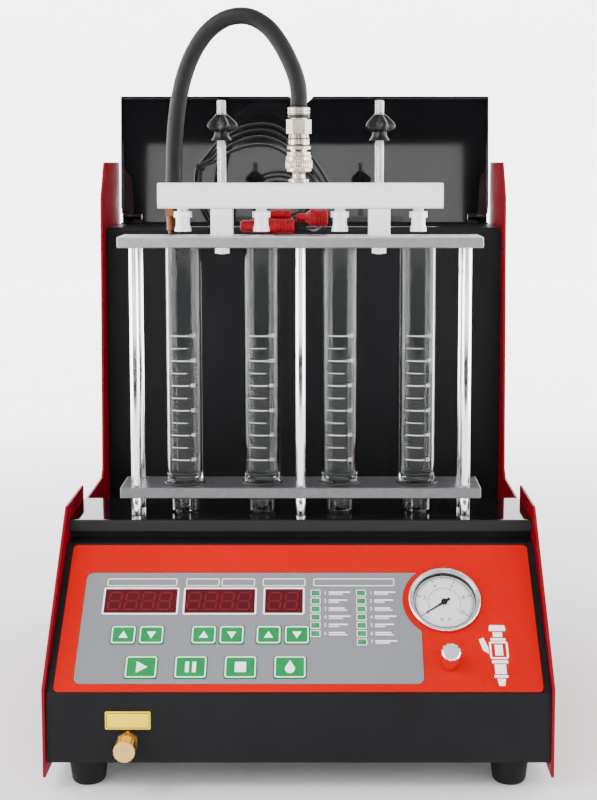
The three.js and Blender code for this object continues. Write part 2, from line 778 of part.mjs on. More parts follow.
function makeInlet(group) {
  const face = rearOuter + seat + sheet;
  const flangeX0 = switchX - rockerWidth / 2 - inletFlange;
  const flangeX1 = inletX + inletWidth / 2 + inletFlange;
  const flangeHalf = inletHeight / 2 + inletFlange;
  const flange = block(flangeX0, flangeX1, rearOuter + seat, face,
    inletZ - flangeHalf, inletZ + flangeHalf);
  const back = rearInner - inletDepth;
  const [x0, x1, z0, z1] = inletHousing();
  const body = block(x0, x1, back, face, z0, z1);
  const w = inletWidth / 2 - sheet;
  const h = inletHeight / 2 - sheet;
  const mouth = block(inletX - w, inletX + w, back + sheet, face + overrun, inletZ - h, inletZ + h);
  const rw = rockerWidth / 2 + runningGap;
  const rh = rockerHeight / 2 + runningGap;
  const rockerMouth = block(switchX - rw, switchX + rw, back + sheet, face + overrun,
    inletZ - rh, inletZ + rh);
  const pins = [-inletWidth / 4, 0, inletWidth / 4].map((dx) => block(
    inletX + dx - pinHalf,
    inletX + dx + pinHalf,
    back + sheet / 2,
    rearInner,
    inletZ - pinHalf * 2,
    inletZ + pinHalf * 2,
  ));
  const module = cut(join([flange, body]), [mouth, rockerMouth]);
  place(group, 'power_inlet', join([module, ...pins]), blackPlastic);
}

function inletHousing() {
  const half = Math.max(inletHeight, rockerHeight) / 2 + sheet / 2;
  return [
    switchX - rockerWidth / 2 - sheet,
    inletX + inletWidth / 2,
    inletZ - half,
    inletZ + half,
  ];
}

// Rocker in the inlet module, turning about a cross pin
function makeSwitch(group) {
  const w = rockerWidth / 2;
  const h = rockerHeight / 2 - runningGap;
  const rise = h * Math.tan(rockerTilt);
  const shape = [
    [0, -h],
    [rockerDepth, -h],
    [rockerDepth - rise, 0],
    [rockerDepth, h],
    [0, h],
  ];
  const mesh = place(group, 'power_rocker', extrudeAlongX(shape, -w, w), blackPlastic);
  mesh.position.set(switchX, rearOuter - rockerSink, inletZ);
  mesh.rotation.x = rockerTilt / 2;
}

// Lid: a shallow tray on two hinges, standing open behind the cabinet
const lidMargin = 5;
const lidReach = 133.4;
const lidApron = 6;
const lidSheet = 1.5;
const lidRim = 5.5;
const lidLean = THREE.MathUtils.degToRad(5);
const hingeInset = 5;
const hingeLift = 8;
const hingeFromEdge = 18;
const hingeLength = 11;
const knuckleRadius = 3.2;
const knuckleSides = 12;
const leafThickness = 1.6;
const leafDepth = 16;
const pinRadius = 1.2;
const notchCentre = -4;
const notchTopHalf = 15.5;
const notchBottomHalf = 6;
const notchDepth = 7;

const lidRoot = knuckleRadius + runningGap;
const lidHalf = bodyWidth / 2 - lidMargin;
const hingeX = lidHalf - hingeFromEdge;
const hingeY = bodyDepth - hingeInset;
const hingeZ = cabinetHeight + hingeLift;

function lidKnuckles() {
  return [-1, 1].flatMap((side) => {
    const x = side * (hingeX + hingeLength);
    const half = hingeLength / 2;
    return [
      barX(0, 0, x - half, x + half, knuckleRadius, knuckleSides),
      block(x - half, x + half, 0, leafThickness, 0, lidRoot + leafDepth / 2),
    ];
  });
}

function lidNotch(top) {
  const shape = new THREE.Shape([
    new THREE.Vector2(notchCentre - notchTopHalf, top + lidSheet),
    new THREE.Vector2(notchCentre - notchBottomHalf, top - notchDepth),
    new THREE.Vector2(notchCentre + notchBottomHalf, top - notchDepth),
    new THREE.Vector2(notchCentre + notchTopHalf, top + lidSheet),
  ]);
  const tool = new THREE.ExtrudeGeometry(shape, { depth: lidRim * 4, bevelEnabled: false });
  return tool.rotateX(Math.PI / 2).translate(0, lidRim * 2, 0);
}

function makeLid(group) {
  const top = lidRoot + lidReach;
  const apronHalf = hingeX - hingeLength / 2 - runningGap;
  const pieces = [
    block(-lidHalf, lidHalf, 0, lidSheet, lidRoot, top),
    block(-apronHalf, apronHalf, 0, lidSheet, -lidApron, lidRoot + lidSheet),
    block(-lidHalf, -lidHalf + lidSheet, -lidRim, lidSheet, lidRoot + lidRim, top),
    block(lidHalf - lidSheet, lidHalf, -lidRim, lidSheet, lidRoot + lidRim, top),
    block(-lidHalf, lidHalf, -lidRim, lidSheet, top - lidSheet, top),
    ...lidKnuckles(),
  ];
  const pinHoles = [-1, 1].map((side) => {
    const x = side * (hingeX + hingeLength);
    return barX(0, 0, x - hingeLength, x + hingeLength, pinRadius + runningGap / 2, spindleSides);
  });
  const mesh = place(group, 'lid', cut(join(pieces), [lidNotch(top), ...pinHoles]), blackSteel);
  mesh.position.set(0, hingeY, hingeZ);
  mesh.rotation.x = -lidLean;
}

function makeHinges(group) {
  const low = cabinetHeight + seat;
  for (const [side, name] of [[-1, 'lid_hinge_left'], [1, 'lid_hinge_right']]) {
    const half = hingeLength / 2;
    const x = side * hingeX;
    const [inner, outer] = [x - half + seat, x + half - seat];
    const reachX = side * (hingeX + hingeLength + half);
    const knuckle = barX(hingeY, hingeZ, inner, outer, knuckleRadius, knuckleSides);
    const leaf = block(inner, outer, hingeY - leafDepth, hingeY, low, low + leafThickness);
    const web = block(inner, outer, hingeY - leafThickness, hingeY, low, hingeZ);
    const pin = barX(hingeY, hingeZ, Math.min(x, reachX), Math.max(x, reachX), pinRadius, spindleSides);
    place(group, name, join([knuckle, leaf, web, pin]), steel);
  }
}

// Rack: a lower plate with its five posts, an upper plate and four measuring tubes
const rackEnd = 58.1;
const lowerPlateLift = 17.2;
const plateThickness = 10;
const plateChamfer = 0.8;
const postFromEnd = 14.5;
const postRadius = 4.25;
const postInset = 8;
const tubeWall = 1.8;
const tubeFloor = 14;
const tubeDishShare = 0.55;
const tubeSides = 20;
const tubeSeatDepth = 4;
const pocketClearance = 1.6;
const upperHoleRadius = 12;
const rodRadius = 4;

const outerTube = tubePitch * (tubeCount - 1) / 2;
const rackHalfLength = outerTube + rackEnd;
const postX = rackHalfLength - postFromEnd;
const lowerBottom = deckHeight + lowerPlateLift;
const lowerTop = lowerBottom + plateThickness;
const upperBottom = rackHeight - plateThickness;

function postPlaces() {
  const front = rackFront + postInset;
  const rear = rackFront + rackDepth - postInset;
  return [[-postX, front], [0, front], [postX, front], [-postX, rear], [postX, rear]];
}

function rackPlate(bottom) {
  const shape = roundedRectangle(-rackHalfLength + plateChamfer, rackHalfLength - plateChamfer,
    rackFront + plateChamfer, rackFront + rackDepth - plateChamfer, plateChamfer);
  const options = {
    depth: plateThickness - plateChamfer * 2,
    bevelEnabled: true,
    bevelThickness: plateChamfer,
    bevelSize: plateChamfer,
    bevelSegments: 1,
    curveSegments: 1,
  };
  return new THREE.ExtrudeGeometry(shape, options).translate(0, 0, bottom + plateChamfer);
}

// Posts stand on the deck, pass through the lower plate and carry the upper plate on their ends
function makeLowerFrame(group) {
  const pocket = tubeDiameter / 2 + pocketClearance;
  const tools = [];
  for (const x of tubeCentres()) {
    tools.push(barZ(x, rackMiddle, lowerTop - tubeSeatDepth, lowerTop + overrun, pocket, bushSides));
    tools.push(barZ(x, rackMiddle, lowerBottom - overrun, lowerTop, stemRadius + seat * 2, boreSides));
  }
  const plate = cut(rackPlate(lowerBottom), tools);
  const posts = postPlaces().map(([x, y]) => (
    barZ(x, y, deckHeight + seat, upperBottom - seat, postRadius, boreSides)
  ));
  place(group, 'rack_lower_frame', join([plate, ...posts]), aluminium);
}

function makeUpperPlate(group) {
  const tools = tubeCentres().map((x) => (
    barZ(x, rackMiddle, upperBottom - overrun, rackHeight + overrun, upperHoleRadius, bushSides)
  ));
  for (const x of clampPlaces()) {
    tools.push(barZ(x, rackMiddle, upperBottom - overrun, rackHeight + overrun,
      rodRadius + seat, boreSides));
  }
  place(group, 'rack_upper_plate', cut(rackPlate(upperBottom), tools), aluminium);
}

// Measuring tube: open glass cylinder with a thick dished floor and a drain stem into the deck
function makeTubes(group) {
  const outer = tubeDiameter / 2;
  const inner = outer - tubeWall;
  const bottom = lowerTop - tubeSeatDepth + seat;
  const top = upperBottom - seat;
  const profile = [
    [0, deckHeight - sheet],
    [stemRadius, deckHeight - sheet],
    [stemRadius, bottom],
    [outer - tubeWall / 2, bottom],
    [outer, bottom + tubeWall / 2],
    [outer, top],
    [inner, top],
    [inner, bottom + tubeFloor],
    [inner * tubeDishShare, bottom + tubeFloor * tubeDishShare],
    [0, bottom + tubeFloor / 2],
  ];
  tubeCentres().forEach((x, i) => {
    const tube = turned(profile, tubeSides).translate(x, rackMiddle, 0);
    place(group, `glass_tube_${i + 1}`, tube, clearGlass);
  });
}

// Fuel rail on two spacers, held by rods and star knobs
const railEnd = 22.1;
const railHeight = 23.2;
const railDepth = 26;
const railChamfer = 2;
const spacerHeight = 25.5;
const spacerWidth = 20;
const rodNub = 7;
const rodChamfer = 0.8;
const nutRadius = 7.5;
const nutHeight = 6;
const clampLift = 38.6;
const rodAboveKnob = 36.9;
const starRadius = 14.8;
const starLobeCount = 5;
const starPoints = 25;
const starHeight = 15.5;
const hubHeight = 8;
const hubRadius = 7.5;
const starShares = { swell: 0.17, flank: 0.3, edge: 0.35, bevel: 0.26 };
const hubShares = { foot: 1.25, flare: 0.35, neck: 0.85, inside: 0.5 };

const railHalfLength = outerTube + railEnd;
const railBottom = rackHeight + spacerHeight;
const railTop = railBottom + railHeight;
const starKnobBottom = railTop + clampLift;
const rodTop = starKnobBottom + rodAboveKnob;

function clampPlaces() {
  return [-tubePitch, tubePitch];
}

// Clamp stud: square spacer under the rail, rod through it, hexagon nut under the plate
function makeStuds(group) {
  const names = ['clamp_stud_left', 'clamp_stud_right'];
  const w = spacerWidth / 2;
  const bottom = upperBottom - rodNub;
  const profile = [
    [0, bottom],
    [rodRadius - rodChamfer, bottom],
    [rodRadius, bottom + rodChamfer],
    [rodRadius, rodTop - rodChamfer],
    [rodRadius - rodChamfer, rodTop],
    [0, rodTop],
  ];
  clampPlaces().forEach((x, i) => {
    const spacer = block(x - w, x + w, rackMiddle - w, rackMiddle + w,
      rackHeight + seat, railBottom - seat);
    const rod = turned(profile, boreSides).translate(x, rackMiddle, 0);
    const nutTop = upperBottom - seat;
    const nut = barZ(x, rackMiddle, nutTop - nutHeight, nutTop, nutRadius, hexagonSides);
    place(group, names[i], join([rod, spacer, nut]), steel);
  });
}

// Star knob: five lobes joined by hollows, a domed top and a flared hub
function starOutline() {
  const shape = new THREE.Shape();
  const { swell } = starShares;
  for (let i = 0; i < starPoints; i += 1) {
    const turn = (i / starPoints) * Math.PI * 2;
    const r = starRadius * (1 - swell + swell * Math.cos(starLobeCount * turn));
    const x = r * Math.cos(turn);
    const y = r * Math.sin(turn);
    if (i === 0) shape.moveTo(x, y);
    else shape.lineTo(x, y);
  }
  shape.closePath();
  return shape;
}

function makeStarKnobs(group) {
  const names = ['clamp_knob_left', 'clamp_knob_right'];
  const bevel = starHeight * starShares.bevel;
  const hubTop = hubHeight + starHeight * hubShares.inside;
  clampPlaces().forEach((x, i) => {
    const star = new THREE.ExtrudeGeometry(starOutline(), {
      depth: starHeight * starShares.flank,
      bevelEnabled: true,
      bevelThickness: starHeight * starShares.edge,
      bevelSize: bevel,
      bevelOffset: -bevel,
      bevelSegments: 1,
    });
    star.translate(0, 0, hubHeight + starHeight * starShares.edge);
    const hub = turned([
      [0, 0],
      [hubRadius * hubShares.foot, 0],
      [hubRadius, hubHeight * hubShares.flare],
      [hubRadius * hubShares.neck, hubHeight],
      [hubRadius * hubShares.neck, hubTop],
      [0, hubTop],
    ], bushSides);
    const bore = barZ(0, 0, -overrun, hubHeight + starHeight + overrun, rodRadius + runningGap, boreSides);
    const knob = cut(join([star, hub]), [bore]);
    place(group, names[i], knob, blackPlastic).position.set(x, rackMiddle, starKnobBottom);
  });
}

function railOutline() {
  const y0 = rackMiddle - railDepth / 2;
  const y1 = rackMiddle + railDepth / 2;
  const c = railChamfer;
  return [
    [y0 + c, railBottom],
    [y1 - c, railBottom],
    [y1, railBottom + c],
    [y1, railTop - c],
    [y1 - c, railTop],
    [y0 + c, railTop],
    [y0, railTop - c],
    [y0, railBottom + c],
  ];
}

const railBoreRadius = 5;
const endPlugRadius = 7;
const endPlugDepth = 8;

function makeRail(group) {
  const bar = extrudeAlongX(railOutline(), -railHalfLength, railHalfLength);
  const middle = (railTop + railBottom) / 2;
  const tools = clampPlaces().map((x) => (
    barZ(x, rackMiddle, railBottom - overrun, railTop + overrun, rodRadius + runningGap, boreSides)
  ));
  const plugs = [-1, 1].map((side) => {
    const end = side * railHalfLength;
    const start = end - side * endPlugDepth;
    return barX(rackMiddle, middle, Math.min(start, end), Math.max(start, end), endPlugRadius, boreSides);
  });
  tools.push(barX(rackMiddle, middle, -railHalfLength - overrun, railHalfLength + overrun,
    railBoreRadius, spindleSides));
  place(group, 'fuel_rail', join([cut(bar, tools), ...plugs, ...railAdaptors()]), aluminium);
}

// Injector adaptors under the rail: neck, collar and flared socket
const adaptorNeck = 5;
const adaptorCollar = 8.4;
const adaptorSocket = 7.6;
const adaptorBore = 5.2;
const adaptorGap = 4;
const adaptorSides = 12;
const adaptorShares = { neck: 0.14, collar: 0.4, waist: 0.7, flare: 0.9, slim: 0.85, bore: 0.55 };

function railAdaptors() {
  const reach = spacerHeight - adaptorGap;
  const at = adaptorShares;
  const profile = [
    [0, -reach * at.bore],
    [adaptorBore, -reach * at.bore],
    [adaptorBore, -reach],
    [adaptorSocket, -reach],
    [adaptorSocket, -reach * at.flare],
    [adaptorSocket * at.slim, -reach * at.waist],
    [adaptorSocket * at.slim, -reach * at.collar],
    [adaptorCollar, -reach * at.collar],
    [adaptorCollar, -reach * at.neck],
    [adaptorNeck, -reach * at.neck],
    [adaptorNeck, railChamfer],
    [0, railChamfer],
  ];
  return tubeCentres().map((x) => turned(profile, adaptorSides).translate(x, rackMiddle, railBottom));
}

// Quick coupler on top of the rail and the hose end above it
const couplerX = -1.5;
const couplerSides = 18;
const plugNeckRadius = 6.2;
const plugNeckHeight = 8;
const plugHexRadius = 10;
const plugHexHeight = 3.2;
const plugRadius = 7.6;
const sleeveRadius = 12;
const sleeveHeight = 20.5;
const sleeveTravel = 4;
const sleeveEdge = 0.8;
const upperBodyRadius = 10.2;
const upperBodyHeight = 16.5;
const upperBodyWaist = 0.9;
const swivelRadius = 11.6;
const swivelHeight = 13;
const ferruleGap = 2.5;
const ferruleRadius = 9.9;
const ferruleHeight = 8.5;

const sleeveBottom = railTop + plugNeckHeight;
const sleeveTop = sleeveBottom + sleeveHeight;
const bodyTop = sleeveTop + upperBodyHeight;
const swivelTop = bodyTop + swivelHeight;
const ferruleBottom = swivelTop + ferruleGap;
const ferruleTop = ferruleBottom + ferruleHeight;

function makeCoupler(group) {
  const plug = turned([
    [0, railTop + seat],
    [plugHexRadius, railTop + seat],
    [plugHexRadius, railTop + plugHexHeight],
    [plugNeckRadius, railTop + plugHexHeight + sleeveEdge],
    [plugNeckRadius, sleeveBottom],
    [plugRadius, sleeveBottom + sleeveTravel / 2],
    [plugRadius, sleeveTop],
    [upperBodyRadius - upperBodyWaist, sleeveTop + sleeveTravel + seat],
    [upperBodyRadius, sleeveTop + sleeveTravel * 2],
    [upperBodyRadius - upperBodyWaist, bodyTop],
    [0, bodyTop],
  ], couplerSides);
  const swivel = barZ(0, 0, bodyTop, swivelTop, swivelRadius, hexagonSides).rotateZ(Math.PI / hexagonSides);
  const ferrule = turned([
    [0, swivelTop],
    [plugRadius, swivelTop],
    [plugRadius, ferruleBottom],
    [ferruleRadius, ferruleBottom],
    [ferruleRadius, ferruleTop],
    [0, ferruleTop],
  ], couplerSides);
  const body = join([plug, swivel, ferrule]).translate(couplerX, rackMiddle, 0);
  place(group, 'coupler_body', body, chrome);
}

// Locking sleeve of the coupler, free to slide down against its spring
function makeSleeve(group) {
  const inner = plugRadius + runningGap;
  const low = sleeveBottom + sleeveTravel / 2;
  const high = sleeveTop - seat;
  const sleeve = turned([
    [inner, low],
    [sleeveRadius - sleeveEdge, low],
    [sleeveRadius, low + sleeveEdge],
    [sleeveRadius, high - sleeveTravel],
    [sleeveRadius - sleeveEdge, high - sleeveTravel + sleeveEdge],
    [sleeveRadius - sleeveEdge, high],
    [inner, high],
    [inner, low],
  ], couplerSides);
  place(group, 'coupler_sleeve', sleeve.translate(couplerX, rackMiddle, 0), chrome);
}

// Pressure hose: up from the brass fitting behind the rack, in an arch to the ferrule.
// Its points give X, the distance behind the middle of the rack, and the height above the rack.
const hoseRadius = 7.7;
const hoseSides = 12;
const hoseSteps = 20;
const fittingX = -120.5;
const fittingSetback = 33;
const fittingRadius = 5.5;
const fittingBody = 7.2;
const fittingHexRadius = 9;
const fittingHexHeight = 9;
const fittingLift = 26.2;
const fittingShoulder = 2;
const pipeDrop = 20;
const flangeThickness = 4;
const hoseRoute = [
  [-120.5, 33, 44.2], [-120, 32, 62.2], [-119, 30, 84.2], [-117, 27, 106.2], [-113.5, 24, 128.2],
  [-107.5, 20, 150.2], [-98, 16, 171.2], [-84.5, 12, 188.7], [-67, 8.5, 199.5], [-48, 5.5, 200.7],
  [-31, 3, 191.7], [-18.5, 1, 176.2], [-9, 0, 158.2], [-3.2, 0, 142.2], [-1.5, 0, 130.2],
];

const hoseStart = rackHeight + fittingLift;
const pipeZ = rackHeight - pipeDrop;

function fromRack([x, back, lift]) {
  return [x, rackMiddle + back, rackHeight + lift];
}

function makeHose(group) {
  const start = [fittingX, rackMiddle + fittingSetback, hoseStart + seat];
  const end = [couplerX, rackMiddle, ferruleTop + seat * 2];
  const route = [start, ...hoseRoute.map(fromRack), end];
  place(group, 'pressure_hose', tubeAlong(route, hoseRadius, hoseSides, hoseSteps), rubber);
}

// Brass fitting on a pipe that comes out of the cabinet's front wall
function makeHoseFitting(group) {
  const y = rackMiddle + fittingSetback;
  const wall = cabinetFront - seat;
  const body = turned([
    [0, pipeZ - fittingRadius],
    [fittingRadius, pipeZ - fittingRadius],
    [fittingRadius, rackHeight + fittingShoulder],
    [fittingBody, rackHeight + fittingShoulder * 2],
    [fittingBody, hoseStart - fittingHexHeight],
    [0, hoseStart - fittingHexHeight],
  ], boreSides).translate(fittingX, y, 0);
  const hexagon = barZ(fittingX, y, hoseStart - fittingHexHeight, hoseStart,
    fittingHexRadius, hexagonSides);
  const pipe = barY(fittingX, pipeZ, y, wall, fittingRadius, boreSides);
  const flange = barY(fittingX, pipeZ, wall - flangeThickness, wall, fittingHexRadius, hexagonSides);
  place(group, 'hose_fitting', join([body, hexagon, pipe, flange]), brass);
}

// Injector leads: four wires from a rubber gland, bundled up to a tie, then fanned out in an arch
// behind the rail and down to their clips. Points are given as for the hose, and each clip
// points to the left from its tail.
const wireRadius = 1.5;
const wireSides = 8;
const wireSteps = 13;
const wireSpread = 4.2;
const tieRadius = 5;
const tieHalfLength = 2.2;
const tieLean = THREE.MathUtils.degToRad(25);
const leadSetback = 42;
const clipSides = 10;
const clipNoseLength = 9;
const leadFeed = [
  [-61, -18.8], [-66, -16.8], [-76, -8.8], [-88, 6.2], [-96.5, 26.2], [-99, 46.2], [-96, 63.2],
];
const leadFeedShares = [0.88, 0.742, 0.584, 0.44, 0.321, 0.244, 0.201];
const leadArches = [
  [[-89, 75], [-80, 85.5], [-67, 95], [-54, 101.5], [-40, 103.8], [-26, 102.5],
    [-14, 96], [0, 84], [13, 68], [25, 49]],
  [[-87.5, 72.5], [-78, 82], [-66, 90.5], [-53, 96], [-39, 98], [-26, 96],
    [-14, 89], [-2, 77], [10, 62], [20, 47]],
  [[-86, 70], [-76, 78], [-64, 85], [-51, 90], [-38, 91.5], [-26, 89],
    [-14, 82], [-4, 72], [6, 58], [14, 46]],
  [[-84.5, 67.5], [-74, 74], [-62, 79.5], [-50, 83], [-38, 84], [-26, 82],
    [-15, 76], [-5, 66], [2, 55], [9, 44]],
];
const leadEnds = [
  [[33, 41, 32], [36, 36, 24], [33, 29, 18], [22, 27, 15.7]],
  [[24, 44, 30], [22, 43, 16], [17, 40, 6.2], [12, 32, 2.9], [7, 22, 4.7], [3, 19, 6.2]],
  [[12, 44, 36], [6, 41, 27], [-2, 34, 20.5], [-12, 30, 18.2]],
  [[7, 47, 32], [0, 48, 20], [-10, 45.5, 12.5], [-22, 44, 10.2]],
];
const clipTails = [[24, 27, 15.7], [-7, 19, 8], [-11, 30, 18.2], [-21, 44, 10.2]];
const clipLengths = [29, 50, 26, 28];
const clipNoseRadii = [4.2, 5.6, 4, 4.2];
const clipTailRadii = [8.2, 7.2, 5.2, 6];
const clipRounding = 2;
const longClip = 1;
const longClipTailRadius = 3.8;
const longClipTailLength = 12;
const glandFlange = 2.5;

function leadPoints(index) {
  const side = index % 2 === 0 ? -1 : 1;
  const level = index < 2 ? 1 : -1;
  const reach = cabinetFront - rackMiddle;
  const aside = side * wireSpread / 2;
  const above = level * wireSpread / 2;
  const feed = leadFeed.map(([x, lift], i) => (
    [x + aside, rackMiddle + reach * leadFeedShares[i] + above, rackHeight + lift]
  ));
  const behind = rackMiddle + leadSetback + above;
  const arch = leadArches[index].map(([x, lift]) => [x, behind, rackHeight + lift]);
  const gland = [glandX + aside, cabinetFront, glandZ + above];
  return [gland, ...feed, ...arch, ...leadEnds[index].map(fromRack)];
}

function clipSolid(index) {
  const length = clipLengths[index];
  const nose = clipNoseRadii[index];
  const clip = turned([
    [0, 0],
    [clipTailRadii[index], 0],
    [clipTailRadii[index], length / 2],
    [nose, length - clipNoseLength],
    [nose, length - clipRounding],
    [nose - clipRounding, length],
    [0, length],
  ], clipSides);
  return clip.rotateY(-Math.PI / 2).translate(...fromRack(clipTails[index]));
}

function makeLeads(group) {
  const pieces = [];
  for (let i = 0; i < clipTails.length; i += 1) {
    pieces.push(tubeAlong(leadPoints(i), wireRadius, wireSides, wireSteps));
    pieces.push(clipSolid(i));
  }
  const [x, y, z] = fromRack(clipTails[longClip]);
  const [start, end] = [x - clipRounding, x + longClipTailLength];
  pieces.push(barX(y, z - clipRounding, start, end, longClipTailRadius, clipSides));
  const wall = cabinetFront - seat;
  pieces.push(barY(glandX, glandZ, wall - glandFlange, wall, glandRadius + glandFlange, clipSides));
  pieces.push(barY(glandX, glandZ, wall - seat, cabinetFront + sheet, glandRadius - seat * 2, clipSides));
  const [tieX, tieLift] = leadFeed[leadFeed.length - 1];
  const tie = barZ(0, 0, -tieHalfLength, tieHalfLength, tieRadius, clipSides).rotateY(tieLean);
  pieces.push(tie.translate(tieX, rackMiddle + leadSetback, rackHeight + tieLift));
  place(group, 'injector_leads', join(pieces), rubber);
}

// Rubber feet
const footBottomRadius = 14.5;
const footTopRadius = 17.4;
const footEdge = 3.5;
const footSides = 14;
const footInset = 34;
const footSetback = 30;

function makeFeet(group) {
  const profile = [
    [0, 0],
    [footBottomRadius - footEdge, 0],
    [footBottomRadius, footEdge],
    [footTopRadius, footHeight - seat],
    [0, footHeight - seat],
  ];
  const x = bodyWidth / 2 - footInset;
  const rows = { front: footSetback, rear: bodyDepth - footSetback };
  const sides = { left: -x, right: x };
  for (const [row, footY] of Object.entries(rows)) {
    for (const [side, footX] of Object.entries(sides)) {
      place(group, `foot_${row}_${side}`, turned(profile, footSides).translate(footX, footY, 0), rubber);
    }
  }
}

// Drain outlet in the front wall, with its plug, and the plain plate above it
const drainNeckReach = 12;
const drainInside = 20;
const drainBoreRadius = 3.3;
const drainNutRadius = 9;
const drainNutDepth = 5;
const drainPlugRadius = 9.1;
const drainPlugLength = 13;
const drainPlugFluteCount = 16;
const drainPlugFluteDepth = 0.4;
const outletPlateHalf = 19;
const outletPlateRise = 29.3;
const outletPlateHeight = 15.3;
const outletPlateCorner = 1;

function makeDrain(group) {
  const front = frontInset - drainNeckReach;
  const wall = frontInset - seat;
  const back = frontInset + drainInside;
  const neck = barY(drainX, drainZ, front, back, drainNeckRadius, holeSides);
  const nut = barY(drainX, drainZ, wall - drainNutDepth, wall, drainNutRadius, hexagonSides);
  const bore = barY(drainX, drainZ, front - overrun, back + overrun, drainBoreRadius, boreSides);
  place(group, 'drain_outlet', cut(join([neck, nut]), [bore]), brass);
  const plug = new THREE.ExtrudeGeometry(
    flutedOutline(drainPlugRadius, drainPlugFluteDepth, drainPlugFluteCount),
    { depth: drainPlugLength, bevelEnabled: false },
  ).rotateX(Math.PI / 2);
  place(group, 'drain_plug', plug, brass).position.set(drainX, front - seat, drainZ);
  const low = footHeight + outletPlateRise;
  const plate = pad(drainX - outletPlateHalf, drainX + outletPlateHalf, low, low + outletPlateHeight,
    0, filmThickness, outletPlateCorner);
  place(group, 'outlet_plate', plate.rotateX(Math.PI / 2).translate(0, wall, 0), yellowFilm);
}

// Inside the housing: fluid tank, pump and control board, set out from the floor and the walls
const insideMargin = 22;
const pumpShare = 0.35;
const boardShare = 0.7;
const tankWidth = 170;
const tankWall = 3;
const tankCorner = 10;
const tankHeadroom = 12.5;
const tankRearGap = 32;
const pumpX = 80;
const pumpLift = 56;
const pumpRadius = 24;
const pumpHalfLength = 48;
const pumpHeadRadius = 10;
const pumpHeadLength = 16;
const pumpBaseHalf = 30;
const pumpBaseDepth = 18;
const boardX = 95;
const boardHalf = 75;
const boardSheet = 3;
const boardHeight = 112;
const transformerHalf = 24;
const transformerDepth = 19;
const transformerHeight = 46;
const transformerLift = 34;

function insideY(share) {
  return rackFront + (cabinetFront - rackFront) * share;
}

function makeTank(group) {
  const left = -halfInside + insideMargin;
  const right = left + tankWidth;
  const rear = cabinetFront - tankRearGap;
  const low = baseTop + seat;
  const top = wellFloor - sheet - tankHeadroom;
  const tank = pad(left, right, rackFront, rear, low, top, tankCorner);
  const inside = pad(left + tankWall, right - tankWall, rackFront + tankWall, rear - tankWall,
    low + tankWall, top + overrun, tankCorner - tankWall);
  place(group, 'fluid_tank', cut(tank, [inside]), milkPlastic);
}

function makePump(group) {
  const y = insideY(pumpShare);
  const z = baseTop + pumpLift;
  const right = pumpX + pumpHalfLength;
  const motor = barX(y, z, pumpX - pumpHalfLength, right, pumpRadius, knobSides);
  const head = barX(y, z, right, right + pumpHeadLength, pumpHeadRadius, boreSides);
  const foot = block(pumpX - pumpBaseHalf, pumpX + pumpBaseHalf, y - pumpBaseDepth, y + pumpBaseDepth,
    baseTop + seat, z);
  place(group, 'fluid_pump', join([motor, head, foot]), steel);
}

function makeBoard(group) {
  const y = insideY(boardShare);
  const low = baseTop + seat;
  const face = y + boardSheet;
  const board = block(boardX - boardHalf, boardX + boardHalf, y, face, low, low + boardHeight);
  const transformer = block(boardX - transformerHalf, boardX + transformerHalf, face,
    face + transformerDepth, low + transformerLift, low + transformerLift + transformerHeight);
  place(group, 'control_board', join([board, transformer]), boardGreen);
}

function build() {
  const rest = new THREE.Group();
  object.add(rest);
  const panel = new THREE.Group();
  panel.position.set(0, frontInset, frontTop);
  panel.rotation.x = panelAngle;
  rest.add(panel);
  makeSidePlates(rest);
  makeBase(rest);
  makeFrontCover(rest);
  makeFilms(panel);
  makeDisplays(panel);
  makeLamps(panel);
  makeKeys(panel);
  makeGauge(panel);
  makeRegulator(panel);
  makeDeck(rest);
  makeCabinet(rest);
  makeBath(rest);
  makeRearCover(rest);
  makeInlet(rest);
  makeSwitch(rest);
  makeLid(rest);
  makeHinges(rest);
  makeLowerFrame(rest);
  makeUpperPlate(rest);
  makeTubes(rest);
  makeStuds(rest);
  makeStarKnobs(rest);
  makeRail(rest);
  makeCoupler(rest);
  makeSleeve(rest);
  makeHose(rest);
  makeHoseFitting(rest);
  makeLeads(rest);
  makeFeet(rest);
  makeDrain(rest);
  makeTank(rest);
  makePump(rest);
  makeBoard(rest);
  const middle = new THREE.Box3().setFromObject(rest, true).getCenter(new THREE.Vector3());
  rest.position.y = -middle.y;
}

build();

export default object;
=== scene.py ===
import json
import math
from bisect import bisect_left
from itertools import accumulate

import bpy
from mathutils import Matrix, Vector

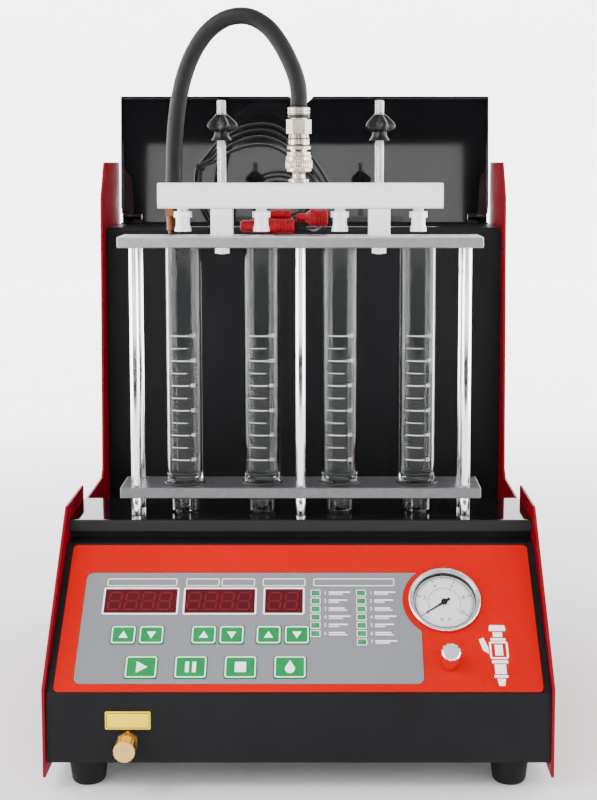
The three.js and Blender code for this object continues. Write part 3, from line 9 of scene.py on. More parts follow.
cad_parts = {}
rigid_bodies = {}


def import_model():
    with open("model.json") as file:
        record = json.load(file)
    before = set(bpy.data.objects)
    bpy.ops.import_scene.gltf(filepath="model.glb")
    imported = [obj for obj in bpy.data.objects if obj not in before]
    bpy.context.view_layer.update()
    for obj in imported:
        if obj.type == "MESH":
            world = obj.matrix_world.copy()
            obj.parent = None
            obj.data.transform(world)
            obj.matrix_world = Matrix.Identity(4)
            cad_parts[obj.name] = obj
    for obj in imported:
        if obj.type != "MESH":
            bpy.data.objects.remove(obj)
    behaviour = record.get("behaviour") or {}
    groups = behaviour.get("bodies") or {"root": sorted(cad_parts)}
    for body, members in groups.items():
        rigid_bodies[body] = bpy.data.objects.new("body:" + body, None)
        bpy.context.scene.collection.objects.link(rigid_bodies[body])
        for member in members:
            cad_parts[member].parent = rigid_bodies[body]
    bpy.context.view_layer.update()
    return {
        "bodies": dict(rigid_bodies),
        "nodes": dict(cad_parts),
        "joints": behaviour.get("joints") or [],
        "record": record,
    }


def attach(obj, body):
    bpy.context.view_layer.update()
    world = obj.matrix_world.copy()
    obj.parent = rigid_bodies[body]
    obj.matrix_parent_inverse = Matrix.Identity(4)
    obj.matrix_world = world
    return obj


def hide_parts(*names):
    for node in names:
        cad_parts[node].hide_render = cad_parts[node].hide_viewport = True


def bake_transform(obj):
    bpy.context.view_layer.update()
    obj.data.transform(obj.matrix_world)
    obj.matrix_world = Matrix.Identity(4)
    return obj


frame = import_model()
nodes = frame["nodes"]

# Lengths below are in millimetres in the part's frame, and MM turns them into metres
MM = 0.001
FRONT_TO_ORIGIN = 233.067
SIDES = [("left", -1), ("right", 1)]

# Photograph frame, and the view that was fitted to it
IMAGE_WIDTH = 597
FOCAL_PIXELS = 1400
AXIS_OFFSET_PIXELS = (23.5, 100)
SENSOR_WIDTH = 36
CAMERA_PLACE = (0.01979, -1.36625, 0.52743)
CAMERA_PITCH = math.radians(5.5)


def from_front(y):
    """A depth measured from the front wall, in the frame."""
    return y - FRONT_TO_ORIGIN


def link(obj):
    bpy.context.scene.collection.objects.link(obj)
    return obj


def make_camera():
    data = bpy.data.cameras.new("camera")
    data.sensor_fit = "HORIZONTAL"
    data.sensor_width = SENSOR_WIDTH
    data.lens = SENSOR_WIDTH * FOCAL_PIXELS / IMAGE_WIDTH
    data.shift_x = -AXIS_OFFSET_PIXELS[0] / IMAGE_WIDTH
    data.shift_y = -AXIS_OFFSET_PIXELS[1] / IMAGE_WIDTH
    data.clip_start = 0.05
    camera = link(bpy.data.objects.new("camera", data))
    camera.location = CAMERA_PLACE
    camera.rotation_euler = (math.pi / 2 - CAMERA_PITCH, 0, 0)
    bpy.context.scene.camera = camera


make_camera()


# Mesh helpers
def mesh_object(name, points, faces, smooth=False):
    """A mesh from points in millimetres."""
    mesh = bpy.data.meshes.new(name)
    mesh.from_pydata([Vector(p) * MM for p in points], [], faces)
    mesh.validate()
    mesh.update()
    if smooth:
        for face in mesh.polygons:
            face.use_smooth = True
    return link(bpy.data.objects.new(name, mesh))


def frame_along(path):
    """Two directions across a path at each of its points, turned as little as possible."""
    last = len(path) - 1
    tangents = [(path[min(i + 1, last)] - path[max(i - 1, 0)]).normalized() for i in range(last + 1)]
    side = tangents[0].orthogonal().normalized()
    frames = []
    for tangent in tangents:
        side = (side - tangent * side.dot(tangent)).normalized()
        frames.append((side, tangent.cross(side)))
    return frames


def around(count):
    """Each corner of a loop with its next one."""
    return [(k, (k + 1) % count) for k in range(count)]


def skin(rows, sides, ring=False):
    """Faces between rows of points, and flat ends unless the last row joins the first."""
    faces = []
    for i in range(rows if ring else rows - 1):
        low, high = i * sides, (i + 1) % rows * sides
        faces += [(low + k, low + j, high + j, high + k) for k, j in around(sides)]
    if not ring:
        faces.append(tuple(range(sides))[::-1])
        faces.append(tuple(range((rows - 1) * sides, rows * sides)))
    return faces


def tube(name, path, radius, sides):
    """A closed round tube along a path."""
    points = []
    for centre, (side, across) in zip(path, frame_along(path)):
        for k in range(sides):
            turn = 2 * math.pi * k / sides
            points.append(centre + (side * math.cos(turn) + across * math.sin(turn)) * radius)
    obj = mesh_object(name, points, skin(len(path), sides), smooth=True)
    for face in obj.data.polygons[-2:]:
        face.use_smooth = False
    return obj


SPAN_STEPS = 12


def smooth_path(points, spacing):
    """Evenly spaced points on a centripetal Catmull-Rom curve, as the solids follow."""
    control = [Vector(p) for p in points]
    first = control[0] * 2 - control[1]
    last = control[-1] * 2 - control[-2]
    control = [first, *control, last]
    dense = []
    for i in range(1, len(control) - 2):
        p0, p1, p2, p3 = control[i - 1:i + 3]
        t1 = (p1 - p0).length ** 0.5
        t2 = t1 + (p2 - p1).length ** 0.5
        t3 = t2 + (p3 - p2).length ** 0.5
        for k in range(SPAN_STEPS):
            t = t1 + (t2 - t1) * k / SPAN_STEPS
            a1 = p0.lerp(p1, t / t1)
            a2 = p1.lerp(p2, (t - t1) / (t2 - t1))
            a3 = p2.lerp(p3, (t - t2) / (t3 - t2))
            b1 = a1.lerp(a2, t / t2)
            b2 = a2.lerp(a3, (t - t1) / (t3 - t1))
            dense.append(b1.lerp(b2, (t - t1) / (t2 - t1)))
    dense.append(control[-2])
    lengths = [0, *accumulate((b - a).length for a, b in zip(dense, dense[1:]))]
    count = max(2, round(lengths[-1] / spacing))
    path = []
    for i in range(count + 1):
        want = lengths[-1] * i / count
        k = min(bisect_left(lengths, want, 1), len(lengths) - 1) - 1
        share = (want - lengths[k]) / (lengths[k + 1] - lengths[k])
        path.append(dense[k].lerp(dense[k + 1], min(max(share, 0), 1)))
    return path


def turn_about(axis, degrees):
    return Matrix.Rotation(math.radians(degrees), 4, axis)


def shift(x, y, z=0):
    return Matrix.Translation((x, y, z))


# Turns that bring an upright axis to another one
AXIS_TURNS = {
    "Z": Matrix.Identity(4),
    "X": turn_about("Y", 90),
    "-X": turn_about("Y", -90),
    "Y": turn_about("X", -90),
}
SHARP_ANGLE = math.radians(35)


def lathe(name, profile, sides, frame=Matrix.Identity(4), ring=False, wave=None):
    """A turned form from (radius, height) pairs. A ring joins its last pair to its first, and
    anything else is closed by flat ends. A wave changes the radius round the turn."""
    points = []
    for radius, height in profile:
        for k in range(sides):
            turn = 2 * math.pi * k / sides
            reach = wave(radius, height, turn) if wave else radius
            points.append(frame @ Vector((reach * math.cos(turn), reach * math.sin(turn), height)))
    obj = mesh_object(name, points, skin(len(profile), sides, ring), smooth=True)
    obj.data.set_sharp_from_angle(angle=SHARP_ANGLE)
    return obj


def turned(name, profile, sides, at=(0, 0, 0), axis="Z", ring=False, wave=None):
    return lathe(name, profile, sides, shift(*at) @ AXIS_TURNS[axis], ring, wave)


# Cords: the pressure hose and the four injector leads, on the routes of their solids
RACK_MIDDLE_Y = -70.06
RACK_HEIGHT = 462.5
CABINET_FRONT_Y = 138.93
GLAND = (-60, CABINET_FRONT_Y, 443.7)
GLAND_RADIUS = 6.4
HOSE_RADIUS = 7.7
HOSE_STEP = 3
HOSE_START = (-120.5, -37.06, 489)
HOSE_END = (-1.5, RACK_MIDDLE_Y, 580.8)
HOSE_ROUTE = [
    (-120.5, 33, 44.2), (-120, 32, 62.2), (-119, 30, 84.2), (-117, 27, 106.2), (-113.5, 24, 128.2),
    (-107.5, 20, 150.2), (-98, 16, 171.2), (-84.5, 12, 188.7), (-67, 8.5, 199.5), (-48, 5.5, 200.7),
    (-31, 3, 191.7), (-18.5, 1, 176.2), (-9, 0, 158.2), (-3.2, 0, 142.2), (-1.5, 0, 130.2),
]
WIRE_RADIUS = 1.5
WIRE_SPREAD = 4.2
LEAD_STEP = 2.5
LEAD_SETBACK = 42
LEAD_FEED = [(-61, -18.8, 0.88), (-66, -16.8, 0.742), (-76, -8.8, 0.584), (-88, 6.2, 0.44),
             (-96.5, 26.2, 0.321), (-99, 46.2, 0.244), (-96, 63.2, 0.201)]
LEAD_ARCHES = [
    [(-89, 75), (-80, 85.5), (-67, 95), (-54, 101.5), (-40, 103.8), (-26, 102.5),
     (-14, 96), (0, 84), (13, 68), (25, 49)],
    [(-87.5, 72.5), (-78, 82), (-66, 90.5), (-53, 96), (-39, 98), (-26, 96),
     (-14, 89), (-2, 77), (10, 62), (20, 47)],
    [(-86, 70), (-76, 78), (-64, 85), (-51, 90), (-38, 91.5), (-26, 89),
     (-14, 82), (-4, 72), (6, 58), (14, 46)],
    [(-84.5, 67.5), (-74, 74), (-62, 79.5), (-50, 83), (-38, 84), (-26, 82),
     (-15, 76), (-5, 66), (2, 55), (9, 44)],
]
LEAD_ENDS = [
    [(33, 41, 32), (36, 36, 24), (33, 29, 18), (22, 27, 15.7)],
    [(24, 44, 30), (22, 43, 16), (17, 40, 6.2), (12, 32, 2.9), (7, 22, 4.7), (3, 19, 6.2)],
    [(12, 44, 36), (6, 41, 27), (-2, 34, 20.5), (-12, 30, 18.2)],
    [(7, 47, 32), (0, 48, 20), (-10, 45.5, 12.5), (-22, 44, 10.2)],
]
CLIPS = [
    {"tail": (24, 27, 15.7), "length": 29, "nose": 4.2, "back": 8.2},
    {"tail": (-7, 19, 8), "length": 50, "nose": 5.6, "back": 7.2},
    {"tail": (-11, 30, 18.2), "length": 26, "nose": 4, "back": 5.2},
    {"tail": (-21, 44, 10.2), "length": 28, "nose": 4.2, "back": 6},
]
LONG_BOOT = 40
RIB_PITCH = 3
RIB_DEPTH = 0.7
LENGTH_PER_RIB = 11
TIE_LEAN = 25


def from_rack(point):
    return (point[0], RACK_MIDDLE_Y + point[1], RACK_HEIGHT + point[2])


def lead_points(index):
    aside = WIRE_SPREAD / 2 * (-1 if index % 2 == 0 else 1)
    above = WIRE_SPREAD / 2 * (1 if index < 2 else -1)
    reach = CABINET_FRONT_Y - RACK_MIDDLE_Y
    points = [(GLAND[0] + aside, GLAND[1], GLAND[2] + above)]
    for x, lift, share in LEAD_FEED:
        points.append((x + aside, RACK_MIDDLE_Y + reach * share + above, RACK_HEIGHT + lift))
    for x, lift in LEAD_ARCHES[index]:
        points.append((x, RACK_MIDDLE_Y + LEAD_SETBACK + above, RACK_HEIGHT + lift))
    points.extend(from_rack(p) for p in LEAD_ENDS[index])
    return points


def lead_route(index):
    """The solid's route, and on through the boot where that is a long one."""
    route = smooth_path(lead_points(index), LEAD_STEP)
    tail = Vector(from_rack(CLIPS[index]["tail"]))
    if CLIPS[index]["length"] > LONG_BOOT:
        route += [tail + Vector((-reach, 0, 0)) for reach in range(3, 16, 3)]
    return route


def make_hose():
    path = smooth_path([HOSE_START, *[from_rack(p) for p in HOSE_ROUTE], HOSE_END], HOSE_STEP)
    hose = tube("hose", path, HOSE_RADIUS, 32)
    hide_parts("pressure_hose")
    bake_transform(hose)
    return hose


def make_clip(index):
    """A moulded boot: ribbed grip at the tail, tapered towards its nose."""
    clip = CLIPS[index]
    length, nose, back = clip["length"], clip["nose"], clip["back"]
    profile = [(back * 0.55, -1.5), (back * 0.9, -0.6), (back, 0.8)]
    groove = back - RIB_DEPTH
    for i in range(max(2, round(length / LENGTH_PER_RIB))):
        start = 2 + i * RIB_PITCH
        profile += [(back, start), (groove, start + 0.6), (groove, start + 1.6), (back, start + 2.2)]
    profile += [(back, length * 0.5), (nose, length - 9), (nose, length - 2.5),
                (nose - 0.9, length - 0.8), (nose - 2.2, length)]
    return turned(f"lead_boot_{index + 1}", profile, 24, from_rack(clip["tail"]), "-X")


def make_leads():
    leads, boots = [], []
    for index in range(len(CLIPS)):
        path = lead_route(index)
        lead = tube(f"lead_{index + 1}", path, WIRE_RADIUS, 12)
        boot = make_clip(index)
        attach(lead, "housing")
        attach(boot, "housing")
        leads.append(lead)
        boots.append(boot)
    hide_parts("injector_leads")
    return leads, boots


def make_lead_fittings():
    """Gland in the cabinet wall, tie round the bundle, and the dark tail of the long boot."""
    rim = [(GLAND_RADIUS, 2), (GLAND_RADIUS, -0.6), (9.5, -0.6), (9.5, -2.2), (8.6, -3), (5, -4.5),
           (4.6, -4.5)]
    gland = turned("lead_gland", rim, 32, GLAND, "Y")
    tie = turned("lead_tie", [(4.6, -2.2), (5, -1.6), (5, 1.6), (4.6, 2.2)], 20)
    x, lift, _ = LEAD_FEED[-1]
    tie.data.transform(turn_about("Y", TIE_LEAN))
    tie.data.transform(shift(*Vector(from_rack((x, LEAD_SETBACK, lift))) * MM))
    x, y, z = from_rack(CLIPS[1]["tail"])
    sheath = [(3.2, -2), (3.8, -1), (3.8, 11), (3.2, 12)]
    tail = turned("boot_tail", sheath, 20, (x, y, z - 2), "X")
    for piece in (gland, tie, tail):
        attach(piece, "housing")
    return [gland, tie, tail]


hose = make_hose()
leads, boots = make_leads()
lead_fittings = make_lead_fittings()


# Finishes, all procedural, with patterns in the part's own frame
DECK_LIP = -105.6
FITTING_SHADE = 464
WHITE = (1, 1, 1, 1)


def srgb(red, green, blue):
    def linear(value):
        share = value / 255
        return share / 12.92 if share <= 0.04045 else ((share + 0.055) / 1.055) ** 2.4
    return (linear(red), linear(green), linear(blue), 1)


class Nodes:
    """The nodes of a shader, and the place that their patterns are read at."""

    def __init__(self, tree, place):
        self.tree = tree
        self.place = self.node("TexCoord").outputs[place]

    def node(self, kind, values=()):
        """A node with values for its sockets by name."""
        node = self.tree.nodes.new(f"ShaderNode{kind}")
        for socket, value in dict(values).items():
            node.inputs[socket].default_value = value
        return node

    def join(self, output, node_input):
        self.tree.links.new(output, node_input)

    def ramp(self, value, low, high, start, end):
        """From low to high while a value goes from start to end."""
        limits = {"From Min": start, "From Max": end, "To Min": low, "To Max": high}
        node = self.node("MapRange", limits)
        self.join(value, node.inputs["Value"])
        return node.outputs["Result"]

    def along(self, axis):
        """One coordinate of the place."""
        parts = self.node("SeparateXYZ")
        self.join(self.place, parts.inputs["Vector"])
        return parts.outputs[axis]


class Finish(Nodes):
    """A material with mottled colour, uneven roughness and a fine surface."""

    def __init__(self, name, colour, roughness, metallic=0.0, specular=0.5):
        self.name = name
        self.material = bpy.data.materials.new(f"{name}_finish")
        self.material.use_nodes = True
        super().__init__(self.material.node_tree, "Object")
        self.shader = self.tree.nodes["Principled BSDF"]
        self.colour = colour
        self.roughness = roughness
        self.set("Base Color", colour)
        self.set("Roughness", roughness)
        self.set("Metallic", metallic)
        self.set("Specular IOR Level", specular)

    def set(self, socket, value):
        self.shader.inputs[socket].default_value = value
        return self

    def noise(self, scale, stretch=(1, 1, 1), detail=3):
        mapping = self.node("Mapping", {"Scale": stretch})
        self.join(self.place, mapping.inputs["Vector"])
        node = self.node("TexNoise", {"Scale": scale, "Detail": detail})
        self.join(mapping.outputs["Vector"], node.inputs["Vector"])
        return node.outputs["Fac"]

    def darker(self, share):
        return tuple(c * (1 - share) for c in self.colour[:3]) + (1,)

    def blend(self, start, end, factor):
        """Colour that goes from one to another with a factor."""
        mix = self.node("Mix")
        mix.data_type = "RGBA"
        mix.inputs["A"].default_value = start
        mix.inputs["B"].default_value = end
        self.join(factor, mix.inputs["Factor"])
        self.join(mix.outputs["Result"], self.shader.inputs["Base Color"])
        return self

    def mottle(self, scale, share):
        """Colour that darkens by up to a share, with a noise."""
        patches = self.ramp(self.noise(scale), 0, 1, 0.35, 0.7)
        return self.blend(self.colour, self.darker(share), patches)

    def matt_in_front(self, place, roughness):
        """Gloss that gives way to a rougher coat in front of a place, in millimetres."""
        coat = self.ramp(self.along("Y"), roughness, self.roughness, place * MM, (place + 0.5) * MM)
        self.join(coat, self.shader.inputs["Roughness"])
        return self

    def darken_below(self, height, share):
        """Painted shade: darker under a height of the part, in millimetres."""
        rise = self.ramp(self.along("Z"), 0, 1, (height - 2) * MM, (height + 2) * MM)
        return self.blend(self.darker(share), self.colour, rise)

    def uneven(self, scale, change):
        """Roughness that wanders by a change to either side."""
        low, high = self.roughness - change, self.roughness + change
        value = self.ramp(self.noise(scale, detail=4), low, high, 0.3, 0.7)
        self.join(value, self.shader.inputs["Roughness"])
        return self

    def grain(self, scale, depth, stretch=(1, 1, 1)):
        """Bump from a noise, depth in millimetres."""
        bump = self.node("Bump", {"Distance": depth * MM})
        self.join(self.noise(scale, stretch, 2), bump.inputs["Height"])
        self.join(bump.outputs["Normal"], self.shader.inputs["Normal"])
        return self


paints = [
    Finish("black_steel", srgb(25, 25, 27), 0.42, specular=0.09)
    .mottle(9, 0.25).uneven(30, 0.06).grain(2200, 0.012),
    Finish("lid_black", srgb(16, 16, 18), 0.035).set("IOR", 1.56)
    .mottle(7, 0.2).uneven(9, 0.01),
    Finish("red_steel", srgb(124, 0, 19), 0.42, specular=0.12)
    .mottle(11, 0.18).uneven(26, 0.06).grain(1800, 0.012),
    Finish("red_film", (0.49, 0, 0, 1), 0.45, specular=0.03)
    .mottle(6, 0.1).uneven(40, 0.05).grain(1400, 0.006),
    Finish("grey_film", srgb(119, 120, 124), 0.5, specular=0.2)
    .mottle(8, 0.06).uneven(40, 0.05).grain(1400, 0.006),
    Finish("gloss_black", srgb(14, 14, 15), 0.04, specular=0.32)
    .mottle(5, 0.3).matt_in_front(DECK_LIP, 0.5),
    Finish("white_enamel", WHITE, 0.45).mottle(50, 0.03).grain(900, 0.003),
]
metals = [
    Finish("aluminium", srgb(224, 225, 228), 0.36, 1).mottle(160, 0.12)
    .uneven(240, 0.07).grain(420, 0.012, (0.06, 1, 1)),
    # A darker copy of the aluminium, for the lower rack frame: painted shade.
    Finish("shaded_aluminium", srgb(120, 121, 124), 0.42, 0.9).mottle(160, 0.15)
    .uneven(240, 0.08).grain(420, 0.012, (0.06, 1, 1)),
    Finish("blasted", srgb(253, 253, 254), 0.5, 0.25).mottle(760, 0.26)
    .uneven(500, 0.08).grain(1500, 0.02),
    Finish("steel", srgb(214, 215, 219), 0.26, 1).mottle(90, 0.08)
    .uneven(260, 0.05).grain(700, 0.003),
    Finish("bath_steel", srgb(196, 197, 201), 0.32, 1).mottle(14, 0.08)
    .uneven(22, 0.05),
    Finish("hinge", srgb(26, 26, 28), 0.3, 0.7).mottle(90, 0.2)
    .grain(700, 0.004),
    Finish("post_steel", srgb(250, 250, 252), 0.14, 1).mottle(90, 0.05)
    .uneven(160, 0.04),
    Finish("chrome", srgb(228, 229, 232), 0.08, 1).mottle(120, 0.06)
    .uneven(200, 0.03),
    Finish("nickel", srgb(186, 174, 160), 0.2, 1).mottle(150, 0.16)
    .uneven(300, 0.06).grain(900, 0.004),
    # Painted shade: the fitting's brass turns almost black below FITTING_SHADE, where it goes down
    # through the upper plate into the first tube.
    Finish("old_brass_shaded_below", srgb(74, 40, 20), 0.34, 0.9)
    .darken_below(FITTING_SHADE, 0.985).uneven(240, 0.08).grain(900, 0.008),
    Finish("brass", srgb(232, 186, 110), 0.3, 1).mottle(110, 0.16)
    .uneven(240, 0.06).grain(900, 0.008),
]
mouldings = [
    Finish("key_green", srgb(0, 126, 62), 0.45, specular=0.15).mottle(60, 0.12)
    .grain(900, 0.01),
    Finish("lamp_green", srgb(6, 140, 74), 0.25).mottle(300, 0.3),
    Finish("display_red", srgb(74, 0, 10), 0.16, specular=0.25)
    .mottle(40, 0.25),
    Finish("rubber", srgb(22, 22, 24), 0.62, specular=0.15).mottle(60, 0.3)
    .uneven(120, 0.08).grain(1600, 0.03),
    Finish("hose_rubber", srgb(24, 24, 26), 0.5, specular=0.2).mottle(240, 0.25)
    .uneven(160, 0.07).grain(900, 0.05),
    Finish("wire_black", srgb(12, 12, 13), 0.36, specular=0.3).mottle(120, 0.2)
    .grain(1200, 0.01),
    Finish("boot_red", srgb(166, 0, 22), 0.4, specular=0.25).mottle(70, 0.25)
    .grain(700, 0.02),
    Finish("black_plastic", srgb(10, 10, 11), 0.32, specular=0.25)
    .mottle(60, 0.2).uneven(150, 0.06).grain(1300, 0.015),
    Finish("yellow_film", srgb(255, 224, 20), 0.45, specular=0.2)
    .mottle(40, 0.08).grain(1200, 0.006),
    Finish("board_green", srgb(28, 96, 52), 0.5).mottle(90, 0.3)
    .grain(500, 0.03),
    Finish("milk_plastic", srgb(222, 220, 212), 0.5).mottle(20, 0.06)
    .grain(300, 0.02),
    # Black rubber of the tube seals; the same black paints shade in the coupler's seams and inside
    # the gauge bezel.
    Finish("seal", srgb(16, 16, 17), 0.5).mottle(120, 0.3).grain(1400, 0.02),
]
INKS = {"white": (255, 255, 255), "mint": (206, 244, 220), "black": (18, 18, 20),
        "red": (200, 70, 76), "segment": (92, 2, 12)}
inks = [Finish(f"ink_{name}", srgb(*shade), 0.5, specular=0.2).mottle(300, 0.08)
        for name, shade in INKS.items()]


def glass_finish(name, index):
    glass = Finish(name, srgb(250, 252, 252), 0.02)
    return glass.set("Transmission Weight", 1).set("IOR", index).uneven(60, 0.012)


finishes = [*paints, *metals, *mouldings, *inks,
            glass_finish("clear_glass", 1.17), glass_finish("lens_glass", 1.15)]
materials = {finish.name: finish.material for finish in finishes}

# Nodes that need another finish than the one named as their slot
OWN_FINISHES = {
    "lid": "lid_black", "lid_hinge_left": "hinge", "lid_hinge_right": "hinge",
    "fuel_rail": "blasted", "clamp_stud_left": "blasted", "clamp_stud_right": "blasted",
    "coupler_body": "nickel", "coupler_sleeve": "nickel", "hose_fitting": "old_brass_shaded_below",
    "rack_lower_frame": "shaded_aluminium", "ultrasonic_bath": "bath_steel",
    "regulator_knob": "post_steel", "gauge_lens": "lens_glass",
}

# Widths of the rounded edges, and the distance within which facets' corners are joined
WELD_DISTANCE = 0.01
EDGE_ANGLE = math.radians(32)
EDGE_WIDTHS = {"black_steel": 0.35, "lid_black": 0.4, "red_steel": 0.5, "gloss_black": 0.5}
PLAIN_EDGE_WIDTH = 0.2


def paint(obj, name):
    obj.data.materials.clear()
    obj.data.materials.append(materials[name])
    return obj


def shading_group():
    """Welds a solid's facets and shades it smooth, before its edges are rounded."""
    group = bpy.data.node_groups.new("weld_and_smooth", "GeometryNodeTree")
    for end in ("INPUT", "OUTPUT"):
        group.interface.new_socket("Geometry", in_out=end, socket_type="NodeSocketGeometry")
    kinds = ("NodeGroupInput", "GeometryNodeMergeByDistance", "GeometryNodeSetShadeSmooth",
             "NodeGroupOutput")
    chain = [group.nodes.new(kind) for kind in kinds]
    chain[1].inputs["Distance"].default_value = WELD_DISTANCE * MM
    for node, following in zip(chain, chain[1:]):
        group.links.new(node.outputs[0], following.inputs[0])
    return group


SMOOTHING = shading_group()


def soften(obj, width):
    """Rounds the sharp edges a little, with shading that keeps the large faces flat."""
    obj.modifiers.new("smooth", "NODES").node_group = SMOOTHING
    bevel = obj.modifiers.new("edges", "BEVEL")
    bevel.width = width * MM
    bevel.segments = 2
    bevel.limit_method = "ANGLE"
    bevel.angle_limit = EDGE_ANGLE
    weighted = obj.modifiers.new("shading", "WEIGHTED_NORMAL")
    weighted.keep_sharp = True


def slot_name(node):
    """The name of a node's only material, without a number that Blender may have added."""
    return node.data.materials[0].name.split(".")[0]


def dress_nodes():
    for name, node in nodes.items():
        finish = OWN_FINISHES.get(name) or slot_name(node)
        soften(paint(node, finish), EDGE_WIDTHS.get(finish, PLAIN_EDGE_WIDTH))


def dress_cords():
    cord_finishes = {"hose_rubber": [hose], "wire_black": leads, "boot_red": boots,
                     "rubber": lead_fittings}
    for name, pieces in cord_finishes.items():
        for piece in pieces:
            paint(piece, name)


dress_nodes()
dress_cords()


def settle(obj, name, body="housing", node=None):
    """Paints a piece and has it ride on its body. It may stand for a node."""
    if node:
        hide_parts(node)
    paint(obj, name)
    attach(obj, body)
    return obj


# Round forms that the photograph shows closely, in place of their faceted solids
TUBE_CENTRES = [-108.9, -36.3, 36.3, 108.9]
TUBE_RADIUS = 16.5
TUBE_WALL = 1.8
STEM_RADIUS = 4.5
STEM_BOTTOM = 201.2
TUBE_BOTTOM = 226.7
TUBE_TOP = 452.2
LOWER_PLATE_TOP = 230.4
LOWER_PLATE_BOTTOM = 220.2
SEAL_RADIUS = 19.4
FOOT_X = 181
FOOT_Y = {"front": from_front(30), "rear": from_front(450)}
FOOT_TOP = 26.4


def rack_place(x, z=0):
    return (x, RACK_MIDDLE_Y, z)


def make_tubes():
    outer, low, top = TUBE_RADIUS, TUBE_BOTTOM, TUBE_TOP
    inner = outer - TUBE_WALL
    profile = [
        (STEM_RADIUS, STEM_BOTTOM), (STEM_RADIUS, low), (outer - 1.3, low),
        (outer - 0.3, low + 0.4), (outer, low + 1.2), (outer, top - 0.4), (outer - 0.4, top),
        (inner + 0.4, top), (inner, top - 0.4), (inner, low + 14), (inner * 0.92, low + 10.5),
        (inner * 0.75, low + 8.6), (inner * 0.4, low + 7.4), (0.5, low + 7.2),
    ]
    rim, plate = SEAL_RADIUS, LOWER_PLATE_TOP
    seal = [
        (outer + 0.15, plate - 3), (outer + 1.4, plate - 3), (outer + 1.4, plate + 0.15),
        (rim - 0.2, plate + 0.15), (rim, plate + 0.9), (rim - 0.8, plate + 1.7),
        (outer + 0.6, plate + 1.9), (outer + 0.15, plate + 1.2),
    ]
    for i, x in enumerate(TUBE_CENTRES):
        at = rack_place(x)
        tube_piece = turned(f"measuring_tube_{i + 1}", profile, 64, at)
        settle(tube_piece, "clear_glass", node=f"glass_tube_{i + 1}")
        seal_piece = turned(f"tube_seal_{i + 1}", seal, 48, at, ring=True)
        settle(seal_piece, "seal")


def make_feet():
    profile = [(11, 0), (12.6, 0.6), (13.8, 1.9), (14.5, 3.6), (15.3, 10), (17.2, 25.6),
               (17.4, FOOT_TOP)]
    for row, y in FOOT_Y.items():
        for side, sign in SIDES:
            foot = turned(f"rubber_foot_{row}_{side}", profile, 48, (sign * FOOT_X, y, 0))
            settle(foot, "rubber", node=f"foot_{row}_{side}")


# Star knobs on the clamp rods, each turned in its own heights, and the rods' thread
CLAMP_X = 72.6
KNOB_BOTTOM = 549.8
ROD_TOP = 586.7
RAIL_TOP = 511.2
STAR_BOTTOM = 8
STAR_SWELL = 0.17
STAR_LOBES = 5
STAR_SIDES = 100
BORE_RADIUS = 4.5
BOSS_RADIUS = 7
THREAD_PITCH = 1
THREAD_ROOT = 3.95
THREAD_CREST = 4.22


def star_wave(radius, height, turn):
    if height < STAR_BOTTOM or radius < BOSS_RADIUS:
        return radius
    return radius * (1 - STAR_SWELL + STAR_SWELL * math.cos(STAR_LOBES * turn))


def make_star_knobs():
    """Moulded knob with five lobes under a dome, on a flared hub."""
    bore = BORE_RADIUS
    hub = [(bore + 0.3, 0), (8.8, 0), (9.4, 0.6), (8.2, 2.4), (7, 4.4), (6.4, 7.9)]
    dome = [(8.6, 8.6), (11.6, 9.6), (13.9, 11.2), (14.8, 13), (14.7, 14.4), (13.8, 16.2),
            (12, 18.2), (10, 20), (8.2, 21.6), (7, 22.7)]
    profile = [*hub, *dome, (6, 23.3), (bore + 0.5, 23.5), (bore, 23)]
    insert = [(bore, 22.9), (5.8, 22.9), (5.8, 23.7), (5.4, 24), (bore, 24)]
    for side, sign in SIDES:
        at = rack_place(sign * CLAMP_X, KNOB_BOTTOM)
        knob = turned(f"star_knob_{side}", profile, STAR_SIDES, at, ring=True, wave=star_wave)
        settle(knob, "black_plastic", f"knob_{side}", node=f"clamp_knob_{side}")
        piece = turned(f"knob_insert_{side}", insert, 32, at, ring=True)
        settle(piece, "hinge", f"knob_{side}")


def make_threads():
    """Screw thread on the exposed part of each clamp rod."""
    profile = [(THREAD_ROOT, RAIL_TOP + 0.6)]
    for i in range(round((ROD_TOP - RAIL_TOP - 2) / THREAD_PITCH)):
        start = RAIL_TOP + 1 + i * THREAD_PITCH
        profile += [(THREAD_CREST, start + THREAD_PITCH / 2), (THREAD_ROOT, start + THREAD_PITCH)]
    for side, sign in SIDES:
        piece = turned(f"rod_thread_{side}", profile, 24, rack_place(sign * CLAMP_X))
        settle(piece, "steel")


# Coupler details: knurled grip, crimped ferrule, and thin black rings in the seams between them,
# which are painted shade
COUPLER_X = -1.5
GRIP_TEETH = 40
GRIP_DEPTH = 0.35
GRIP_ROOT = 11
CRIMP_STARTS = (574.2, 577.2)
COUPLER_SHADE_RINGS = [(570.4, 573.6, 10.1), (551, 552, 10.32), (545.2, 546.2, 10.32)]


def grip_wave(radius, height, turn):
    groove = GRIP_DEPTH * (0.5 + 0.5 * math.cos(GRIP_TEETH * turn))
    return radius - groove if radius > GRIP_ROOT else radius


def coupler_ring(name, profile, sides=64, wave=None):
    return turned(name, profile, sides, rack_place(COUPLER_X), ring=True, wave=wave)


